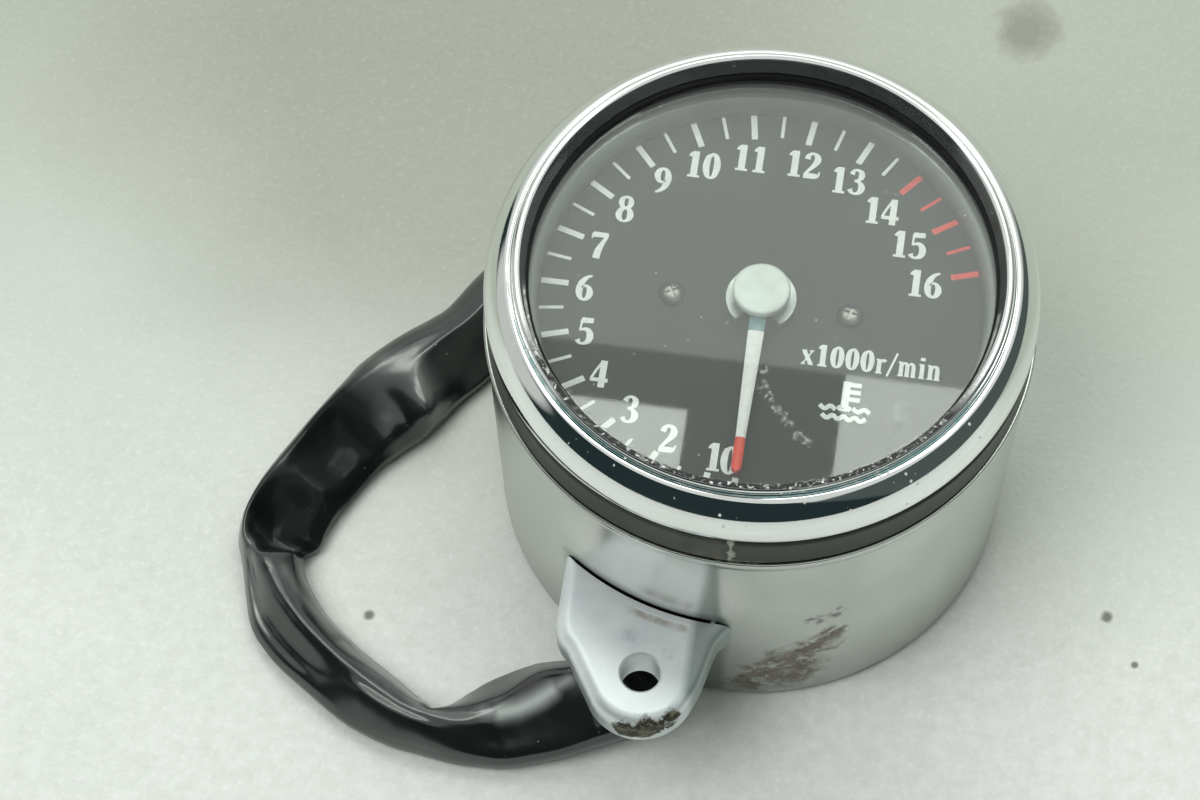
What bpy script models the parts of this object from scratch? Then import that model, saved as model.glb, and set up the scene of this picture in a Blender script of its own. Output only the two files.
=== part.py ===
"""Round motorcycle tachometer with a chrome cup, a bolt-on lug and a sleeved lead.

Frame: the cup stands on its flat base. The origin is the centre of the base,
+Z runs up the cup's axis to the glass, and +Y points to the dial's 12 o'clock.
All dimensions below are in millimetres and are turned into metres by MM.
"""
import math

import bmesh
import bpy
from mathutils import Matrix, Vector

MM = 0.001

# ---- driving dimensions ----
BEZEL_R = 44.0
DIAL_Z = 58.3
CREASE_R = 40.0
TOP_Z = DIAL_Z + 13.2
GAP = 0.3

# the stack over the dial, from the dial's face up
DIAL_R = 37.5
DIAL_THICK = 0.8
DIAL_UNDER = DIAL_Z - DIAL_THICK - GAP
SEAL_TOP = DIAL_Z + 3.3
SURROUND_INNER_R = 34.2
SURROUND_TOP = DIAL_Z + 6.1
GASKET_INNER_R = 36.0
GASKET_OUTER_R = 41.2
LENS_R = 39.9
LENS_LOW = DIAL_Z + 7.2
LENS_TOP = LENS_LOW + 1.4
WALL_LOW = DIAL_Z + 10.3

CUP_TOP_R = 44.0
CUP_BOTTOM_R = 42.5
CUP_RIM_Z = 55.0
CUP_WALL = 1.0
CUP_FLOOR = 1.6
RIM_BEAD_R = 44.3

LUG_TOP_Z = 30.5
LUG_THICK = 7.0
LUG_HOLE_R = 3.2
LUG_TIP_R = 9.0
LUG_HOLE_X = -11.6
LUG_HOLE_Y = -53.6
LUG_LEFT_X = -26.4
LUG_SHOULDER_Y = -48.6
LUG_EDGE_ROUND = 1.9

OUTLET_ANGLE = math.radians(-106.0)
OUTLET_TURN = math.radians(-44.0)
OUTLET_BEND_R = 9.0
OUTLET_Z = 7.6
SLEEVE_HALF_WIDTH = 7.7
SLEEVE_HALF_HEIGHT = 4.1

SCREW_X = 14.3
NEEDLE_LENGTH = 31.7
NEEDLE_Z = DIAL_Z + 3.2
HUB_R = 4.6

BOARD_Z = 31.0
BOARD_R = 36.0
HOUSING_FLOOR_Z = 44.0
CAN_BOTTOM_Z = 34.6
CAN_TOP_Z = 53.6
CAN_R = 13.0

FINE = 48
MEDIUM = 32
COARSE = 14
SMALL = 10


# ---- helpers ----
def clear_scene():
    for old in list(bpy.data.objects):
        bpy.data.objects.remove(old, do_unlink=True)


def material(name, colour, roughness=0.5, metallic=0.0, alpha=1.0):
    mat = bpy.data.materials.new(name)
    mat.use_nodes = True
    shader = mat.node_tree.nodes["Principled BSDF"]
    shader.inputs["Base Color"].default_value = (*colour, 1.0)
    shader.inputs["Roughness"].default_value = roughness
    shader.inputs["Metallic"].default_value = metallic
    shader.inputs["Alpha"].default_value = alpha
    return mat


def place(obj, mat, parent=None):
    bpy.context.scene.collection.objects.link(obj)
    obj.data.materials.append(mat)
    obj.parent = parent
    return obj


def finish_mesh(name, bm, mat, parent=None, at=(0.0, 0.0, 0.0)):
    """Turn a bmesh in millimetres into an object in metres, standing at a point."""
    bmesh.ops.recalc_face_normals(bm, faces=bm.faces)
    bmesh.ops.scale(bm, vec=(MM, MM, MM), verts=bm.verts)
    mesh = bpy.data.meshes.new(name)
    bm.to_mesh(mesh)
    bm.free()
    mesh.shade_smooth()
    mesh.set_sharp_from_angle(angle=math.radians(35.0))
    obj = bpy.data.objects.new(name, mesh)
    obj.location = Vector(at) * MM
    return place(obj, mat, parent)


def ring_points(radius, segments):
    step = 2.0 * math.pi / segments
    return [(radius * math.cos(i * step), radius * math.sin(i * step)) for i in range(segments)]


def skin(bm, sections, ring):
    """Join rings of vertices; a section with one vertex is a pole."""
    pairs = list(zip(sections, sections[1:]))
    if ring:
        pairs.append((sections[-1], sections[0]))
    for low, high in pairs:
        count = max(len(low), len(high))
        for i in range(count):
            j = (i + 1) % count
            corners = [low[i % len(low)], low[j % len(low)], high[j % len(high)], high[i % len(high)]]
            face = list(dict.fromkeys(corners))
            if len(face) > 2:
                bm.faces.new(face)


def turned(name, profile, mat, segments=COARSE, parent=None, at=(0.0, 0.0, 0.0)):
    """Turn a profile of (radius, height) about a vertical axis.

    A profile that starts and ends on the axis makes a solid, any other one is
    closed on itself and makes a ring.
    """
    bm = bmesh.new()
    sections = []
    for radius, height in profile:
        if radius == 0.0:
            sections.append([bm.verts.new((0.0, 0.0, height))])
        else:
            sections.append([bm.verts.new((x, y, height)) for x, y in ring_points(radius, segments)])
    skin(bm, sections, ring=profile[0][0] != 0.0)
    return finish_mesh(name, bm, mat, parent, at)


def plain_ring(inner, outer, low, high):
    return [(outer, low), (outer, high), (inner, high), (inner, low)]


def plain_disc(radius, low, high):
    return [(0.0, low), (radius, low), (radius, high), (0.0, high)]


def prism_mesh(outline, low, high):
    bm = bmesh.new()
    base = [bm.verts.new((x, y, low)) for x, y in outline]
    top = [bm.verts.new((x, y, high)) for x, y in outline]
    bm.faces.new(base[::-1])
    bm.faces.new(top)
    skin(bm, [base, top], ring=False)
    return bm


def box(name, size, at, mat, parent=None, turn=0.0, bevel=0.0):
    bm = bmesh.new()
    bmesh.ops.create_cube(bm, size=1.0)
    bmesh.ops.scale(bm, vec=size, verts=bm.verts)
    if bevel:
        bmesh.ops.bevel(bm, geom=bm.edges[:], offset=bevel, segments=1, affect="EDGES")
    bmesh.ops.rotate(bm, cent=(0.0, 0.0, 0.0), matrix=Matrix.Rotation(turn, 3, "Z"), verts=bm.verts)
    return finish_mesh(name, bm, mat, parent, at)


def arc(centre, radius, start, end, steps):
    """Points on an arc, from one angle to another in radians."""
    return [(centre[0] + radius * math.cos(start + (end - start) * i / steps),
             centre[1] + radius * math.sin(start + (end - start) * i / steps)) for i in range(steps + 1)]


def cutter(obj):
    obj.hide_render = True
    obj.display_type = "WIRE"
    return obj


def cut(obj, *tools):
    for tool in tools:
        cutter(tool)
        boolean = obj.modifiers.new(tool.name, "BOOLEAN")
        boolean.operation = "DIFFERENCE"
        boolean.solver = "EXACT"
        boolean.object = tool


def drill(obj, name, radius, low, high, at, mat, segments=SMALL):
    """Cut a round hole, turned a little so that no cutter edge lies along an edge of the part."""
    tool = turned(name, plain_disc(radius, low, high), mat, segments, at=at)
    tool.rotation_euler.z = 0.2
    cut(obj, tool)


def polar(radius, angle, height=0.0):
    return (radius * math.cos(angle), radius * math.sin(angle), height)


# ---- materials ----
def make_materials():
    return {
        "chrome": material("chrome", (0.78, 0.79, 0.80), 0.08, 1.0),
        "satin_chrome": material("satin_chrome", (0.62, 0.64, 0.63), 0.28, 1.0),
        "lug_metal": material("lug_metal", (0.66, 0.68, 0.68), 0.25, 1.0),
        "rubber": material("rubber", (0.045, 0.045, 0.042), 0.6),
        "vinyl": material("vinyl", (0.015, 0.016, 0.017), 0.3),
        "glass": material("glass", (0.9, 0.95, 0.93), 0.03, 0.0, 0.35),
        "dial_black": material("dial_black", (0.05, 0.053, 0.05), 0.55),
        "grey_plastic": material("grey_plastic", (0.42, 0.45, 0.43), 0.5),
        "white_plastic": material("white_plastic", (0.85, 0.85, 0.82), 0.45),
        "black_plastic": material("black_plastic", (0.03, 0.03, 0.03), 0.45),
        "needle_white": material("needle_white", (0.86, 0.87, 0.85), 0.4),
        "needle_red": material("needle_red", (0.75, 0.06, 0.03), 0.4),
        "silver": material("silver", (0.75, 0.76, 0.77), 0.3, 1.0),
        "steel": material("steel", (0.5, 0.5, 0.5), 0.35, 1.0),
        "brass": material("brass", (0.72, 0.55, 0.25), 0.3, 1.0),
        "copper": material("copper", (0.72, 0.36, 0.18), 0.35, 1.0),
        "magnet": material("magnet", (0.16, 0.16, 0.17), 0.5, 0.6),
        "board_green": material("board_green", (0.05, 0.22, 0.1), 0.45),
        "lamp_glass": material("lamp_glass", (0.92, 0.92, 0.88), 0.05, 0.0, 0.35),
    }


# ---- the outer case ----
def cup_radius(height):
    return CUP_BOTTOM_R + (CUP_TOP_R - CUP_BOTTOM_R) * height / CUP_RIM_Z


def make_cup(mats, posts):
    corner = 2.4
    rim_flange = 1.0
    outer = [(0.0, 0.0)]
    outer += [(CUP_BOTTOM_R - corner + x, corner + y)
              for x, y in arc((0.0, 0.0), corner, -math.pi / 2.0, 0.0, 3)]
    outer += [(cup_radius(CUP_RIM_Z - 2.0), CUP_RIM_Z - 2.0), (RIM_BEAD_R, CUP_RIM_Z - rim_flange),
              (RIM_BEAD_R, CUP_RIM_Z), (41.9, CUP_RIM_Z), (41.9, CUP_RIM_Z - rim_flange)]
    inner_top = CUP_RIM_Z - rim_flange
    inner = [(cup_radius(inner_top) - CUP_WALL, inner_top - 0.2),
             (cup_radius(4.0) - CUP_WALL, 4.0),
             (CUP_BOTTOM_R - corner - 0.6, CUP_FLOOR),
             (0.0, CUP_FLOOR)]
    cup = turned("cup", outer + inner, mats["satin_chrome"], FINE)
    outlet = prism_mesh(oval(SLEEVE_HALF_WIDTH + 1.0, 5.0, SMALL + 4), 36.0, 48.0)
    bmesh.ops.transform(outlet, matrix=outlet_matrix(), verts=outlet.verts)
    tools = [finish_mesh("outlet_cutter", outlet, mats["rubber"])]
    for i, (x, y) in enumerate(posts):
        tools.append(turned("screw_cutter_%d" % i, [(0.0, -0.5), (3.9, -0.5), (1.9, CUP_FLOOR + 0.2),
                                                    (0.0, CUP_FLOOR + 0.2)],
                            mats["steel"], SMALL, at=(x, y, 0.0)))
    cut(cup, *tools)


def lug_outline():
    """Plan of the lug: cup side, left shoulder, round tip and straight right edge."""
    hole = Vector((LUG_HOLE_X, LUG_HOLE_Y))
    shoulder = Vector((LUG_LEFT_X, LUG_SHOULDER_Y))
    reach = shoulder - hole
    tangent = math.atan2(reach.y, reach.x) + math.acos(LUG_TIP_R / reach.length)
    seat = cup_radius(LUG_TOP_Z) + GAP
    right_x = LUG_HOLE_X + LUG_TIP_R
    ear_r = 3.0
    ear_x = right_x + ear_r
    ear_y = -math.sqrt(seat ** 2 - ear_x ** 2) - 0.6
    left_angle = -math.pi + math.acos(-LUG_LEFT_X / seat)
    right_angle = math.atan2(ear_y, ear_x)
    points = arc((0.0, 0.0), seat, right_angle, left_angle, 8)
    points += [(LUG_LEFT_X, LUG_SHOULDER_Y + 2.0), (LUG_LEFT_X + 0.7, LUG_SHOULDER_Y - 0.7)]
    points += arc(hole, LUG_TIP_R, tangent, 2.0 * math.pi, 9)
    points += arc((ear_x, ear_y - ear_r), ear_r, math.pi, math.pi / 2.0, 3)
    return points


def make_lug(mats):
    bm = prism_mesh(lug_outline(), LUG_TOP_Z - LUG_THICK, LUG_TOP_Z)
    clear_r = cup_radius(LUG_TOP_Z) + 2.0 * GAP
    rim = []
    for edge in bm.edges:
        flat = abs(edge.verts[0].co.z - edge.verts[1].co.z) < 0.01
        outside = all(v.co.xy.length > clear_r for v in edge.verts)
        if flat and outside:
            rim.append(edge)
    bmesh.ops.bevel(bm, geom=rim, offset=LUG_EDGE_ROUND, segments=2, affect="EDGES", profile=0.5)
    lug = finish_mesh("mounting_lug", bm, mats["lug_metal"])
    drill(lug, "lug_hole_cutter", LUG_HOLE_R, LUG_TOP_Z - 2.0 * LUG_THICK, LUG_TOP_Z + LUG_THICK,
          (LUG_HOLE_X, LUG_HOLE_Y, 0.0), mats["steel"], 16)


def make_seal_band(mats):
    low = CUP_RIM_Z + GAP
    inner_r, outer_r = 41.4, 43.9
    chamfer_r, chamfer = outer_r - 0.4, 0.5
    turned("seal_band", [(chamfer_r, low), (outer_r, low + chamfer), (outer_r, SEAL_TOP - chamfer),
                         (chamfer_r, SEAL_TOP), (inner_r, SEAL_TOP), (inner_r, low)], mats["rubber"], FINE)


def bezel_flank(centre, run, rise, last_r, steps):
    """Quarter ellipse from the widest point up to a given radius."""
    last = math.acos((last_r - centre[0]) / run)
    return [(centre[0] + run * math.cos(last * i / steps), centre[1] + rise * math.sin(last * i / steps))
            for i in range(steps + 1)]


def make_bezel(mats):
    """A chromed sheet ring: a swept outer flank, a crease, a raised lip and an inner wall."""
    sheet = 0.8
    low = SEAL_TOP + GAP
    centre = (CREASE_R - 0.5, DIAL_Z + 5.3)
    run, rise = BEZEL_R - centre[0], 7.3
    wall_r = 37.2
    outer = [(43.3, low), (43.85, low + 0.8)] + bezel_flank(centre, run, rise, CREASE_R, 6)
    lip = [(39.4, TOP_Z - 0.15), (38.8, TOP_Z), (38.2, TOP_Z - 0.1), (37.8, TOP_Z - 0.5), (wall_r, WALL_LOW)]
    inner = [(wall_r + sheet, WALL_LOW), (38.6, TOP_Z - 1.0)]
    inner += bezel_flank(centre, run - sheet, rise - sheet, CREASE_R, 4)[::-1]
    inner.append((42.6, low))
    turned("bezel", outer + lip + inner, mats["chrome"], FINE)


def make_lens(mats):
    turned("lens", plain_disc(LENS_R, LENS_LOW, LENS_TOP), mats["glass"], FINE)


def make_lens_gasket(mats):
    """A rubber channel that grips the lens' rim between the surround and the bezel's inner wall."""
    low = SURROUND_TOP + GAP
    groove_r = LENS_R + GAP
    groove_low = LENS_LOW - GAP
    groove_high = LENS_TOP + GAP
    high = WALL_LOW - GAP
    turned("lens_gasket", [(GASKET_OUTER_R, low), (GASKET_OUTER_R, DIAL_Z + 8.5), (GASKET_OUTER_R - 0.5, high),
                           (GASKET_INNER_R + 1.3, high), (GASKET_INNER_R, high - 0.4),
                           (GASKET_INNER_R, groove_high), (groove_r, groove_high), (groove_r, groove_low),
                           (GASKET_INNER_R + 0.8, groove_low), (GASKET_INNER_R + 0.8, low)],
           mats["rubber"], FINE)


def make_dial_surround(mats):
    low = CUP_RIM_Z + 2.0 * GAP
    outer_r = 41.0
    over_dial_r = DIAL_R + 0.5
    turned("dial_surround", [(SURROUND_INNER_R, DIAL_Z + GAP), (over_dial_r, DIAL_Z + GAP), (over_dial_r, low),
                             (outer_r, low), (outer_r, SURROUND_TOP), (SURROUND_INNER_R, SURROUND_TOP)],
           mats["grey_plastic"], FINE)


def make_dial(mats):
    bore = 2.7
    dial = turned("dial_plate", plain_ring(bore, DIAL_R, DIAL_Z - DIAL_THICK, DIAL_Z), mats["dial_black"], FINE)
    for side, name in ((-1.0, "left"), (1.0, "right")):
        drill(dial, "dial_hole_" + name, 1.6, DIAL_Z - 3.0, DIAL_Z + 3.0, (side * SCREW_X, 0.0, 0.0), mats["steel"])
        turned("dial_screw_" + name, [(0.0, DIAL_Z - 3.4), (1.2, DIAL_Z - 3.4), (1.2, DIAL_Z + GAP),
                                      (2.1, DIAL_Z + GAP), (2.1, DIAL_Z + 0.9), (1.4, DIAL_Z + 1.4),
                                      (0.0, DIAL_Z + 1.4)],
               mats["steel"], 12, at=(side * SCREW_X, 0.0, 0.0))
        turned("dial_post_" + name, plain_ring(1.5, 3.0, DIAL_Z - 2.6, DIAL_UNDER), mats["brass"], 12,
               at=(side * SCREW_X, 0.0, 0.0))


# ---- the pointer, which turns on the cup's axis ----
def make_pointer(mats):
    pivot = bpy.data.objects.new("pointer_axis", None)
    pivot.location = Vector((0.0, 0.0, NEEDLE_Z)) * MM
    bpy.context.scene.collection.objects.link(pivot)
    spindle_top = DIAL_Z + 3.9
    turned("spindle", [(0.0, CAN_BOTTOM_Z + 2.1), (0.5, CAN_BOTTOM_Z + 2.4), (0.5, 41.0), (0.75, 41.4),
                       (0.75, spindle_top), (0.0, spindle_top)], mats["steel"], SMALL, pivot,
           at=(0.0, 0.0, -NEEDLE_Z))
    turned("rotor_magnet", plain_ring(1.05, 5.2, 41.7, 47.5), mats["magnet"], COARSE, pivot,
           at=(0.0, 0.0, -NEEDLE_Z))
    turned("hub_cap", [(0.0, DIAL_Z + 4.2), (4.3, DIAL_Z + 4.2), (HUB_R, DIAL_Z + 4.5), (HUB_R, DIAL_Z + 5.5),
                       (4.3, DIAL_Z + 5.9), (0.0, DIAL_Z + 5.9)], mats["silver"], 24, pivot,
           at=(0.0, 0.0, -NEEDLE_Z))
    make_counterweight(mats, pivot)
    make_needle(mats, pivot)


def make_counterweight(mats, pivot):
    """A flat C of metal under the cap, open towards the needle's tip."""
    half_open = math.radians(38.0)
    start = -0.5 * math.pi + half_open
    end = 1.5 * math.pi - half_open
    outline = arc((0.0, 0.0), 5.6, start, end, 16) + arc((0.0, 0.0), 1.1, end, start, 10)
    bm = prism_mesh(outline, DIAL_Z + 1.4, DIAL_Z + 2.7)
    finish_mesh("counterweight", bm, mats["chrome"], pivot, (0.0, 0.0, -NEEDLE_Z))


def make_needle(mats, pivot):
    """The arm carries a hub round the spindle and tapers towards the red tip."""
    tip_start = NEEDLE_LENGTH - 6.2
    outline = arc((0.0, 0.0), 3.4, math.radians(-60.0), math.radians(240.0), 10)
    outline += [(-1.25, -5.5), (-0.75, -tip_start), (0.75, -tip_start), (1.25, -5.5)]
    arm = finish_mesh("needle_arm", prism_mesh(outline, NEEDLE_Z - 0.4, NEEDLE_Z + 0.4), mats["needle_white"],
                      pivot, (0.0, 0.0, -NEEDLE_Z))
    drill(arm, "needle_bore_cutter", 1.05, NEEDLE_Z - 2.0, NEEDLE_Z + 2.0, (0.0, 0.0, 0.0), mats["steel"])
    tip = [(-0.75, -tip_start - GAP), (-0.7, -NEEDLE_LENGTH + 0.8), (-0.4, -NEEDLE_LENGTH + 0.1),
           (0.4, -NEEDLE_LENGTH + 0.1), (0.7, -NEEDLE_LENGTH + 0.8), (0.75, -tip_start - GAP)]
    finish_mesh("needle_tip", prism_mesh(tip, NEEDLE_Z - 0.4, NEEDLE_Z + 0.4), mats["needle_red"], pivot,
                (0.0, 0.0, -NEEDLE_Z))


# ---- the air-core movement ----
def coil(name, half_length, low, high, wire, offset, turn, mats):
    """One half of a winding: a rectangular loop standing on edge beside the spindle."""
    half_thick = 1.3
    bm = bmesh.new()
    sections = []
    for x, z in ((-half_length, low), (half_length, low), (half_length, high), (-half_length, high)):
        inward_x = x - math.copysign(wire, x)
        inward_z = z + wire if z == low else z - wire
        corners = [(x, offset - half_thick, z), (x, offset + half_thick, z),
                   (inward_x, offset + half_thick, inward_z), (inward_x, offset - half_thick, inward_z)]
        sections.append([bm.verts.new(c) for c in corners])
    skin(bm, sections, ring=True)
    bmesh.ops.rotate(bm, cent=(0.0, 0.0, 0.0), matrix=Matrix.Rotation(turn, 3, "Z"), verts=bm.verts)
    finish_mesh(name, bm, mats["copper"])


def make_movement(mats):
    wall = 0.9
    turned("movement_can", [(0.0, CAN_BOTTOM_Z), (CAN_R, CAN_BOTTOM_Z), (CAN_R, CAN_TOP_Z),
                            (CAN_R - wall, CAN_TOP_Z), (CAN_R - wall, CAN_BOTTOM_Z + wall),
                            (0.0, CAN_BOTTOM_Z + wall)], mats["steel"], 24)
    bearing_low = CAN_BOTTOM_Z + wall + GAP
    turned("lower_bearing", [(0.0, bearing_low), (2.1, bearing_low), (2.1, bearing_low + 1.8),
                             (0.85, bearing_low + 1.8), (0.85, bearing_low + 0.6), (0.0, bearing_low + 0.6)],
           mats["brass"], 12)
    low, high = 39.6, 49.6
    turned("coil_bobbin", [(1.1, low), (6.8, low), (6.8, high), (1.1, high), (1.1, high - 1.5), (5.6, high - 1.5),
                           (5.6, low + 1.5), (1.1, low + 1.5)], mats["black_plastic"], COARSE)
    side_offset = 3.7
    coil("coil_a_front", 8.8, 37.9, 51.3, 1.4, -side_offset, 0.0, mats)
    coil("coil_a_back", 8.8, 37.9, 51.3, 1.4, side_offset, 0.0, mats)
    coil("coil_b_left", 10.5, 36.2, 53.0, 1.3, -side_offset, 0.5 * math.pi, mats)
    coil("coil_b_right", 10.5, 36.2, 53.0, 1.3, side_offset, 0.5 * math.pi, mats)
    plate_low = CAN_TOP_Z + GAP
    outline = arc((SCREW_X, 0.0), 3.6, math.radians(-60.0), math.radians(60.0), 4)
    outline += arc((0.0, 0.0), CAN_R, math.radians(35.0), math.radians(145.0), 7)
    outline += arc((-SCREW_X, 0.0), 3.6, math.radians(120.0), math.radians(240.0), 4)
    outline += arc((0.0, 0.0), CAN_R, math.radians(215.0), math.radians(325.0), 7)
    plate = finish_mesh("movement_plate", prism_mesh(outline, plate_low, plate_low + 1.5), mats["steel"])
    for name, x, radius in (("plate_hole_left", -SCREW_X, 1.5), ("plate_hole_right", SCREW_X, 1.5),
                            ("plate_hole_centre", 0.0, 2.5)):
        drill(plate, name, radius, plate_low - 2.0, plate_low + 4.0, (x, 0.0, 0.0), mats["steel"])
    turned("upper_bearing", plain_ring(0.85, 2.1, plate_low, plate_low + 1.7), mats["brass"], 12)
    make_hairspring(mats, plate_low + 1.9)


def make_hairspring(mats, low):
    """A flat spiral ribbon between the plate and the dial."""
    turns = 3.0
    inner_r, outer_r = 1.6, 6.4
    per_turn = 12
    thick, tall = 0.25, 0.5
    count = int(turns * per_turn)
    bm = bmesh.new()
    sections = []
    for i in range(count + 1):
        angle = 2.0 * math.pi * i / per_turn
        radius = inner_r + (outer_r - inner_r) * i / count
        corners = [(radius, low), (radius + thick, low), (radius + thick, low + tall), (radius, low + tall)]
        sections.append([bm.verts.new(polar(r, angle, z)) for r, z in corners])
    skin(bm, sections, ring=False)
    bm.faces.new(sections[0])
    bm.faces.new(sections[-1])
    finish_mesh("hairspring", bm, mats["brass"])


# ---- the inner case, the board and the lamps ----
def make_inner_case(mats, posts):
    low, floor = 20.5, 1.6
    flange_low = CUP_RIM_Z - 1.1
    turned("inner_case", [(2.0, low), (39.4, low), (39.4, flange_low), (41.3, flange_low),
                          (41.3, CUP_RIM_Z + GAP), (37.9, CUP_RIM_Z + GAP), (37.9, low + floor),
                          (2.0, low + floor)], mats["black_plastic"], MEDIUM)
    for i, (x, y) in enumerate(posts):
        turned("case_post_%d" % (i + 1), plain_ring(1.9, 4.2, CUP_FLOOR + GAP, low - GAP), mats["black_plastic"],
               12, at=(x, y, 0.0))
        turned("case_screw_%d" % (i + 1), [(0.0, 0.3), (3.2, 0.3), (1.5, CUP_FLOOR + 0.1), (1.5, 12.0), (0.0, 12.0)],
               mats["steel"], SMALL, at=(x, y, 0.0))


def make_board(mats):
    thick = 1.6
    board = turned("circuit_board", plain_ring(1.5, BOARD_R, BOARD_Z, BOARD_Z + thick), mats["board_green"], 28)
    top = BOARD_Z + thick + GAP
    for i in range(3):
        angle = math.radians(30.0 + 120.0 * i)
        spot = polar(31.0, angle)
        drill(board, "board_hole_%d" % (i + 1), 1.4, BOARD_Z - 2.0, BOARD_Z + 4.0, spot, mats["steel"])
        turned("board_standoff_%d" % (i + 1), plain_ring(1.4, 3.0, 22.4, BOARD_Z - GAP), mats["brass"], 6, at=spot)
        turned("board_screw_%d" % (i + 1), [(0.0, 25.0), (1.0, 25.0), (1.0, top), (2.4, top), (2.0, top + 1.3),
                                            (0.0, top + 1.3)], mats["steel"], SMALL, at=spot)
    box("driver_chip", (7.5, 10.0, 2.4), (21.0, -6.0, top + 1.2), mats["black_plastic"])
    turned("filter_capacitor", plain_disc(3.2, top, top + 8.0), mats["silver"], 12, at=(-21.0, -8.0, 0.0))
    box("regulator", (9.0, 4.0, 6.0), (-19.0, 10.0, top + 3.0), mats["black_plastic"])
    box("board_header", (15.0, 6.0, 6.0), (0.0, -22.0, BOARD_Z - GAP - 3.0), mats["white_plastic"])


def lamp(name, spot, mats):
    """A twist-in socket under the light housing's floor, with a bulb standing in it."""
    floor_low = HOUSING_FLOOR_Z
    turned(name + "_socket", [(0.0, 38.0), (3.4, 38.0), (3.4, floor_low - 1.6), (5.0, floor_low - 1.6),
                              (5.0, floor_low - GAP), (3.8, floor_low - GAP), (3.8, floor_low + 2.0),
                              (0.0, floor_low + 2.0)], mats["black_plastic"], 12, at=spot)
    base = floor_low + 2.0 + GAP
    turned(name + "_bulb", [(0.0, base), (1.6, base), (2.2, base + 1.4), (2.2, base + 4.8), (1.4, base + 6.3),
                            (0.0, base + 6.8)], mats["lamp_glass"], SMALL, at=spot)
    return turned(name + "_socket_cutter", plain_disc(4.1, floor_low - 3.0, floor_low + 4.0), mats["steel"],
                  12, at=spot)


def make_lighting(mats):
    low = HOUSING_FLOOR_Z
    wall = 1.2
    inner_r = CAN_R + 2.0 * GAP
    outer_r = 36.9
    housing = turned("light_housing", [(inner_r, low), (outer_r, low), (outer_r, DIAL_UNDER),
                                       (outer_r - wall, DIAL_UNDER), (outer_r - wall, low + wall),
                                       (inner_r, low + wall)], mats["white_plastic"], MEDIUM)
    tell_tale = (16.6, -16.2, 0.0)
    spots = {"left_lamp": (-24.5, 4.0, 0.0), "right_lamp": (18.0, 17.5, 0.0), "warning_lamp": tell_tale}
    for name, spot in spots.items():
        cut(housing, lamp(name, spot, mats))
    turned("warning_tube", plain_ring(4.4, 5.4, low + wall + GAP, DIAL_UNDER), mats["black_plastic"], COARSE,
           at=tell_tale)


# ---- the lead: outlet boot, sleeve, wires and plug ----
def oval(half_width, half_height, count):
    step = 2.0 * math.pi / count
    return [(half_width * math.cos(i * step), half_height * math.sin(i * step)) for i in range(count)]


def outlet_matrix():
    """Local X across the outlet, Y up, Z straight out of the cup wall."""
    out = Vector(polar(1.0, OUTLET_ANGLE))
    across = Vector((-out.y, out.x, 0.0))
    up = Vector((0.0, 0.0, 1.0))
    basis = Matrix((across, up, out)).transposed().to_4x4()
    return Matrix.Translation((0.0, 0.0, OUTLET_Z)) @ basis


def boot_path():
    """(centre, heading, half width, half height) of each section of the moulded boot."""
    flange = (9.5, 5.5)
    neck = (SLEEVE_HALF_WIDTH + 0.6, 4.6)
    sections = []
    for reach, size in ((37.8, flange), (40.0, flange), (40.0, neck), (43.1, neck), (43.1, flange), (44.6, flange)):
        sections.append((Vector(polar(reach, OUTLET_ANGLE, OUTLET_Z)), OUTLET_ANGLE, size))
    start = Vector(polar(44.6, OUTLET_ANGLE, OUTLET_Z))
    side = Vector((math.sin(OUTLET_ANGLE), -math.cos(OUTLET_ANGLE), 0.0))
    centre = start + side * OUTLET_BEND_R
    for share in (0.0, 0.5, 1.0):
        heading = OUTLET_ANGLE + OUTLET_TURN * share
        across = Vector((math.sin(heading), -math.cos(heading), 0.0))
        sections.append((centre - across * OUTLET_BEND_R, heading, (SLEEVE_HALF_WIDTH + 0.3, 4.4)))
    return sections


def make_boot(mats):
    bm = bmesh.new()
    rings = []
    for centre, heading, (half_width, half_height) in boot_path():
        across = Vector((-math.sin(heading), math.cos(heading), 0.0))
        rings.append([bm.verts.new(centre + across * x + Vector((0.0, 0.0, y)))
                      for x, y in oval(half_width, half_height, 16)])
    skin(bm, rings, ring=False)
    bm.faces.new(rings[0])
    bm.faces.new(rings[-1])
    finish_mesh("outlet_boot", bm, mats["rubber"])


def lead_route():
    """The sleeve's centreline: out of the boot, round to the left and behind the cup."""
    centre, heading, _ = boot_path()[-1]
    start = centre + Vector(polar(2.0 * GAP, heading))
    on_table = SLEEVE_HALF_HEIGHT + 0.2
    straight = 3.0
    points = [start, start + Vector(polar(straight, heading))]
    bends = ((-27.2, -53.4), (-34.9, -56.2), (-42.4, -57.4), (-49.8, -56.2), (-57.0, -52.4), (-63.9, -47.4),
             (-70.6, -41.6), (-75.9, -34.9), (-78.2, -27.4), (-76.7, -19.6), (-73.0, -11.8), (-68.6, -4.2),
             (-63.6, 3.0), (-57.6, 9.8), (-51.4, 16.8), (-46.4, 25.0), (-40.2, 33.0), (-32.4, 40.6),
             (-23.6, 46.8), (-14.0, 51.2))
    drop = (1.6, 0.5)
    for i, (x, y) in enumerate(bends):
        extra = drop[i] if i < len(drop) else 0.0
        points.append(Vector((x, y, on_table + extra)))
    return points


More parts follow.
